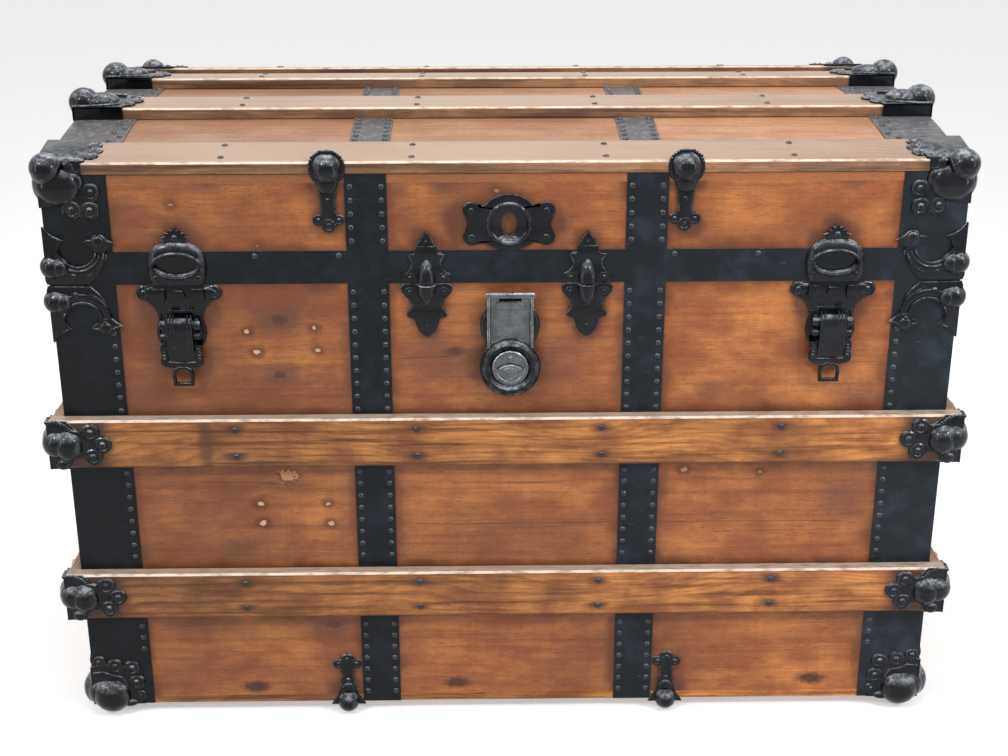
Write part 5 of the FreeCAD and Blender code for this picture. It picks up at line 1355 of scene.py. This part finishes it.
casting("latch_bases", "case", ["latch_base_plates"], FRONT_CORNERS,
        (latch_base(), on_face(LATCH_X, HALF_DEPTH, LATCH_Z)))
for side, latch in zip(FRONT_CORNERS, ("right_latch", "left_latch")):
    casting(f"{latch}_arm", latch, [latch], [side], (latch_arm(), on_face(LATCH_X, LATCH_Y, LATCH_Z)))

# %% [markdown]
# Above each latch a hooded keeper stands on the lid: an oval rim on a wide foot, cut straight at the
# opening line, with a small crown on top. A turned form could be squashed to an oval, but the foot has
# fuller shoulders than the rim, so the hood is a loft between ovals of different fullness.


# %% Latch keepers
KEEPER_Z = 488


@drawing
def keeper(bm):
    v = KEEPER_Z - SPLIT
    mid = v + 2
    hood = [oval(half_u, half_v, w, 0, mid, 56) for half_u, half_v, w in (
        (19.0, 8.6, 0.5), (20.0, 9.8, 4.8), (21.2, 11.2, 7.4), (22.8, 12.8, 7.6), (23.8, 14.0, 6.0))]
    foot = [oval(half_u, half_v, w, 0, v, 56, 2.5) for half_u, half_v, w in (
        (25, 21, 5.0), (27.2, 24.4, 2.4), (27.8, 25.2, 0))]
    add_loft(bm, hood + foot)
    bmesh.ops.bisect_plane(bm, geom=bm.verts[:] + bm.edges[:] + bm.faces[:], plane_co=(0, 0.6, 0),
                           plane_no=(0, -1, 0), clear_outer=True)
    add_loft(bm, [oval(19.2, 8.8, 0.9, 0, mid), oval(0.5, 0.3, 0.8, 0, mid)], close=True)
    under = oval(20.8, 10.4, 0, count=22)[11:22]
    add_beads(bm, [(u, mid + drop) for u, drop, _ in under] + [(20.8, mid)], 1.3, 2.4, 6.2)
    add_plate(bm, [(-13, v + 19), (13, v + 19), (10, v + 25), (7, v + 30), (-7, v + 30), (-10, v + 25)], 0, 2.4, 0.8)
    crown = ((0, 9.5), (2.2, 5.6), (4.4, 6.6), (5.6, 3), (9.2, 4), (8.6, 0.4), (13, -1), (9.5, -4), (6, -5))
    add_plate(bm, both_sides([(u, v + 30 + rise) for u, rise in crown]), 0, 3.0, 0.9)
    add_dome(bm, 0, v + 29, 2.8, 3.0, 2.2)
    for u in (-19.2, 19.2):
        add_dome(bm, u, 7.4, 2.6, 4.8, 4.4, 18, 6)


casting("keepers", "lid", ["latch_keepers"], FRONT_CORNERS, (keeper(), on_face(LATCH_X, BAND_Y, SPLIT)))

# %% [markdown]
# Between the lock and the latches stand two guide dowels, each in two halves. Every half is a leaf
# of cast metal with a fluted acorn on it. The acorn is turned in only ten steps, so its facets read as
# flutes. A half is drawn with its flat at v = 0; the lower one is turned over as it is laid.


# %% Guide dowels
DOWEL_X = 76
UPPER_LEAF = [(20, 0.4), (23.6, 3), (23.4, 7), (21.6, 9.4), (17, 11.6), (14, 15), (13, 20), (14.4, 24.5), (18.6, 28),
              (12, 28.6), (9.8, 31), (9.6, 34.6), (8.4, 36.4), (4.4, 44), (0, 51)]
LOWER_LEAF = [(21, 0.4), (24.4, 3.4), (23.6, 9), (19.6, 14), (16, 17), (13.6, 22), (14.2, 26.6), (19.4, 30.6),
              (18.4, 33.6), (12, 35.6), (10.8, 41), (8.4, 47), (4.4, 51.6), (0, 54)]
UPPER_EDGE = [(17, 11.4), (14, 15), (13.2, 20), (15.4, 25), (18, 27.6)]
LOWER_EDGE = [(16, 17.4), (14, 21.6), (15, 26.4), (18.8, 30.4)]
UPPER_CORDS = ([(8.6, 36), (4.6, 43.6), (0, 50)], [(8.4, 35.6), (0, 35.6)], [(12, 27.8), (18, 27.6)])


@drawing
def dowel(bm, leaf, lobes, edge, cords):
    add_plate(bm, both_sides(leaf), 0, 2.0, 0.9)
    for u, v, radius in lobes:
        add_lobe(bm, u, v, radius, 0.5)
    for side in (-1, 1):
        add_beads(bm, [(side * u, v) for u, v in edge], 1.1, 1.6, 1.6)
        for cord in cords:
            add_beads(bm, [(side * u, v) for u, v in cord], 1.0, 1.6, 1.8)
    profile = ((0, 0.4), (8.0, 0.4), (9.2, 1.4), (9.3, 5), (8.6, 9.5), (7.2, 14), (5.0, 18.5), (2.6, 21.6), (0, 24))
    moved(bm, add_turned(bm, profile, 10), (0, 0, 2), turn=about(18, "Y") @ about(-90, "X"))


UPPER_DOWEL = dowel(UPPER_LEAF, ((0, 40.5, 4.4), (15.8, 5.6, 5.4), (-15.8, 5.6, 5.4)), UPPER_EDGE, UPPER_CORDS)
LOWER_DOWEL = dowel(LOWER_LEAF, ((0, 42.6, 4.8), (16.2, 8.6, 5.4), (-16.2, 8.6, 5.4)), LOWER_EDGE, ())
ON_OPENING = on_face(DOWEL_X, BAND_Y, SPLIT)
casting("dowels_upper", "lid", ["dowel_pins"], FRONT_CORNERS, (UPPER_DOWEL, ON_OPENING))
casting("dowels_lower", "case", ["dowel_sockets"], FRONT_CORNERS,
        (LOWER_DOWEL, ON_OPENING @ Matrix.Diagonal((1, -1, 1, 1))))

# %% [markdown]
# A leather strap bows out from each end, held by two hooded caps. Its line is an arc of a circle with
# a straight end on each side. A bevelled curve would give a round rope, so the flat section of the strap
# is drawn from above and pushed up, and its long edges are rounded.


# %% Handles
GRIP_HALF, FOOT_HALF, BOW, FOOT_OUT = 86, 104, 28, 2
STRAP_WIDTH, LEATHER_THICK, HANDLE_Z = 28, 6, 400


def make_handle(name, node, sign):
    radius = (GRIP_HALF ** 2 + BOW ** 2) / (2 * BOW)
    bow = [(y, FOOT_OUT + math.sqrt(radius ** 2 - y * y) - radius + BOW) for y in range(-GRIP_HALF, GRIP_HALF + 1, 4)]
    line = [(-FOOT_HALF, FOOT_OUT)] + bow + [(FOOT_HALF, FOOT_OUT)]
    section = line + [(y, x + LEATHER_THICK) for y, x in reversed(line)]
    bm = bmesh.new()
    face = bm.faces.new([bm.verts.new((x, y, HANDLE_Z - STRAP_WIDTH / 2)) for y, x in section])
    extruded(bm, [face], (0, 0, STRAP_WIDTH))
    ease_edges(bm, rim_of(bm, bm.verts, 1.2), 1.8, 3)
    moved(bm, bm.verts[:], (sign * HALF_LENGTH, 0, 0), (sign, 1, 1))
    piece(name, bm, "case", LEATHER, "leather", [node])


make_handle("right_handle_strap_leather", "right_handle_strap", 1)
make_handle("left_handle_strap_leather", "left_handle_strap", -1)

# %% [markdown]
# Hundreds of nails hold the bands. Particles or instances could scatter them, but real nails stand in
# rows. Each is a low dome with few faces, stamped along the rows at an even pitch. Rows leave out what
# lies under the slats and the castings.


# %% Nails
NAIL_PITCH, LID_NAIL_PITCH = 13.3, 12.6
BAND_NAILS = (MIDDLE_BANDS[0] + 5, MIDDLE_BANDS[1] - 5)
VALANCE_NAILS = (63, 158, 237, 377)
LID_SLATS = [(LID_SLAT_STEP * n - HALF_DEPTH, LID_SLAT_STEP * n - HALF_DEPTH + LID_SLAT_WIDTH) for n in range(4)]
UNDER_SLATS = [(height - 27, height + 27) for height in SLAT_HEIGHTS]
UNDER_CASTINGS = ((0, 68), (425, 480))


@drawing
def nail_head(bm, radius, height):
    add_turned(bm, ((0, height), (radius * 0.45, height * 0.86), (radius * 0.85, height * 0.45), (radius, 0)), 8)


def row(start, stop, pitch):
    count = round(abs(stop - start) / pitch)
    return [start + (stop - start) * n / count for n in range(count + 1)]


def clear_of(value, spans):
    return all(not low < value < high for low, high in spans)


def on_lid(x, y, above=SHEET):
    return Matrix.Translation((x, y, dome(y, above)))


def nail_places():
    """Places on the case and on the lid."""
    case, lid = [], []
    heights = [z for z in row(24, 462, NAIL_PITCH) if clear_of(z, UNDER_SLATS)]
    for side in ALL_CORNERS:
        case += [side @ on_face(CORNER_BAND + 6, BAND_Y, z) for z in heights if clear_of(z, UNDER_CASTINGS)]
        for x in BAND_NAILS:
            case += [side @ on_face(x, BAND_Y, z) for z in heights]
            lid += [side @ on_face(x, BAND_Y, z) for z in range(512, 565, 13)]
    across = [(count, y) for count, y in enumerate(row(-246, 246, LID_NAIL_PITCH))
              if clear_of(y, [(low - 3, high + 3) for low, high in LID_SLATS])]
    for side in FRONT_CORNERS:
        for count, y in across:
            lid += [side @ on_lid(x, y) for x in (*BAND_NAILS, CORNER_BAND + (6 if count % 2 else 14))]
        lid += [side @ on_face(x, BAND_Y, VALANCE_TOP - 5) for x in VALANCE_NAILS]
    for x in SCREW_COLUMNS:
        case += [on_face(x, SLAT_Y, z) for z in SCREW_HEIGHTS]
        lid += [on_lid(x, y, LID_SLAT_TOP) for low, high in LID_SLATS for y in (low + 10, high - 10)]
    return case, lid


nail = nail_head(3.2, 1.7)
for body_name, places in zip(("case", "lid"), nail_places()):
    nails = bmesh.new()
    for place in places:
        stamp(nails, nail, place)
    piece(f"{body_name}_nails", nails, body_name, NAIL, "black_bands", sharp=80)
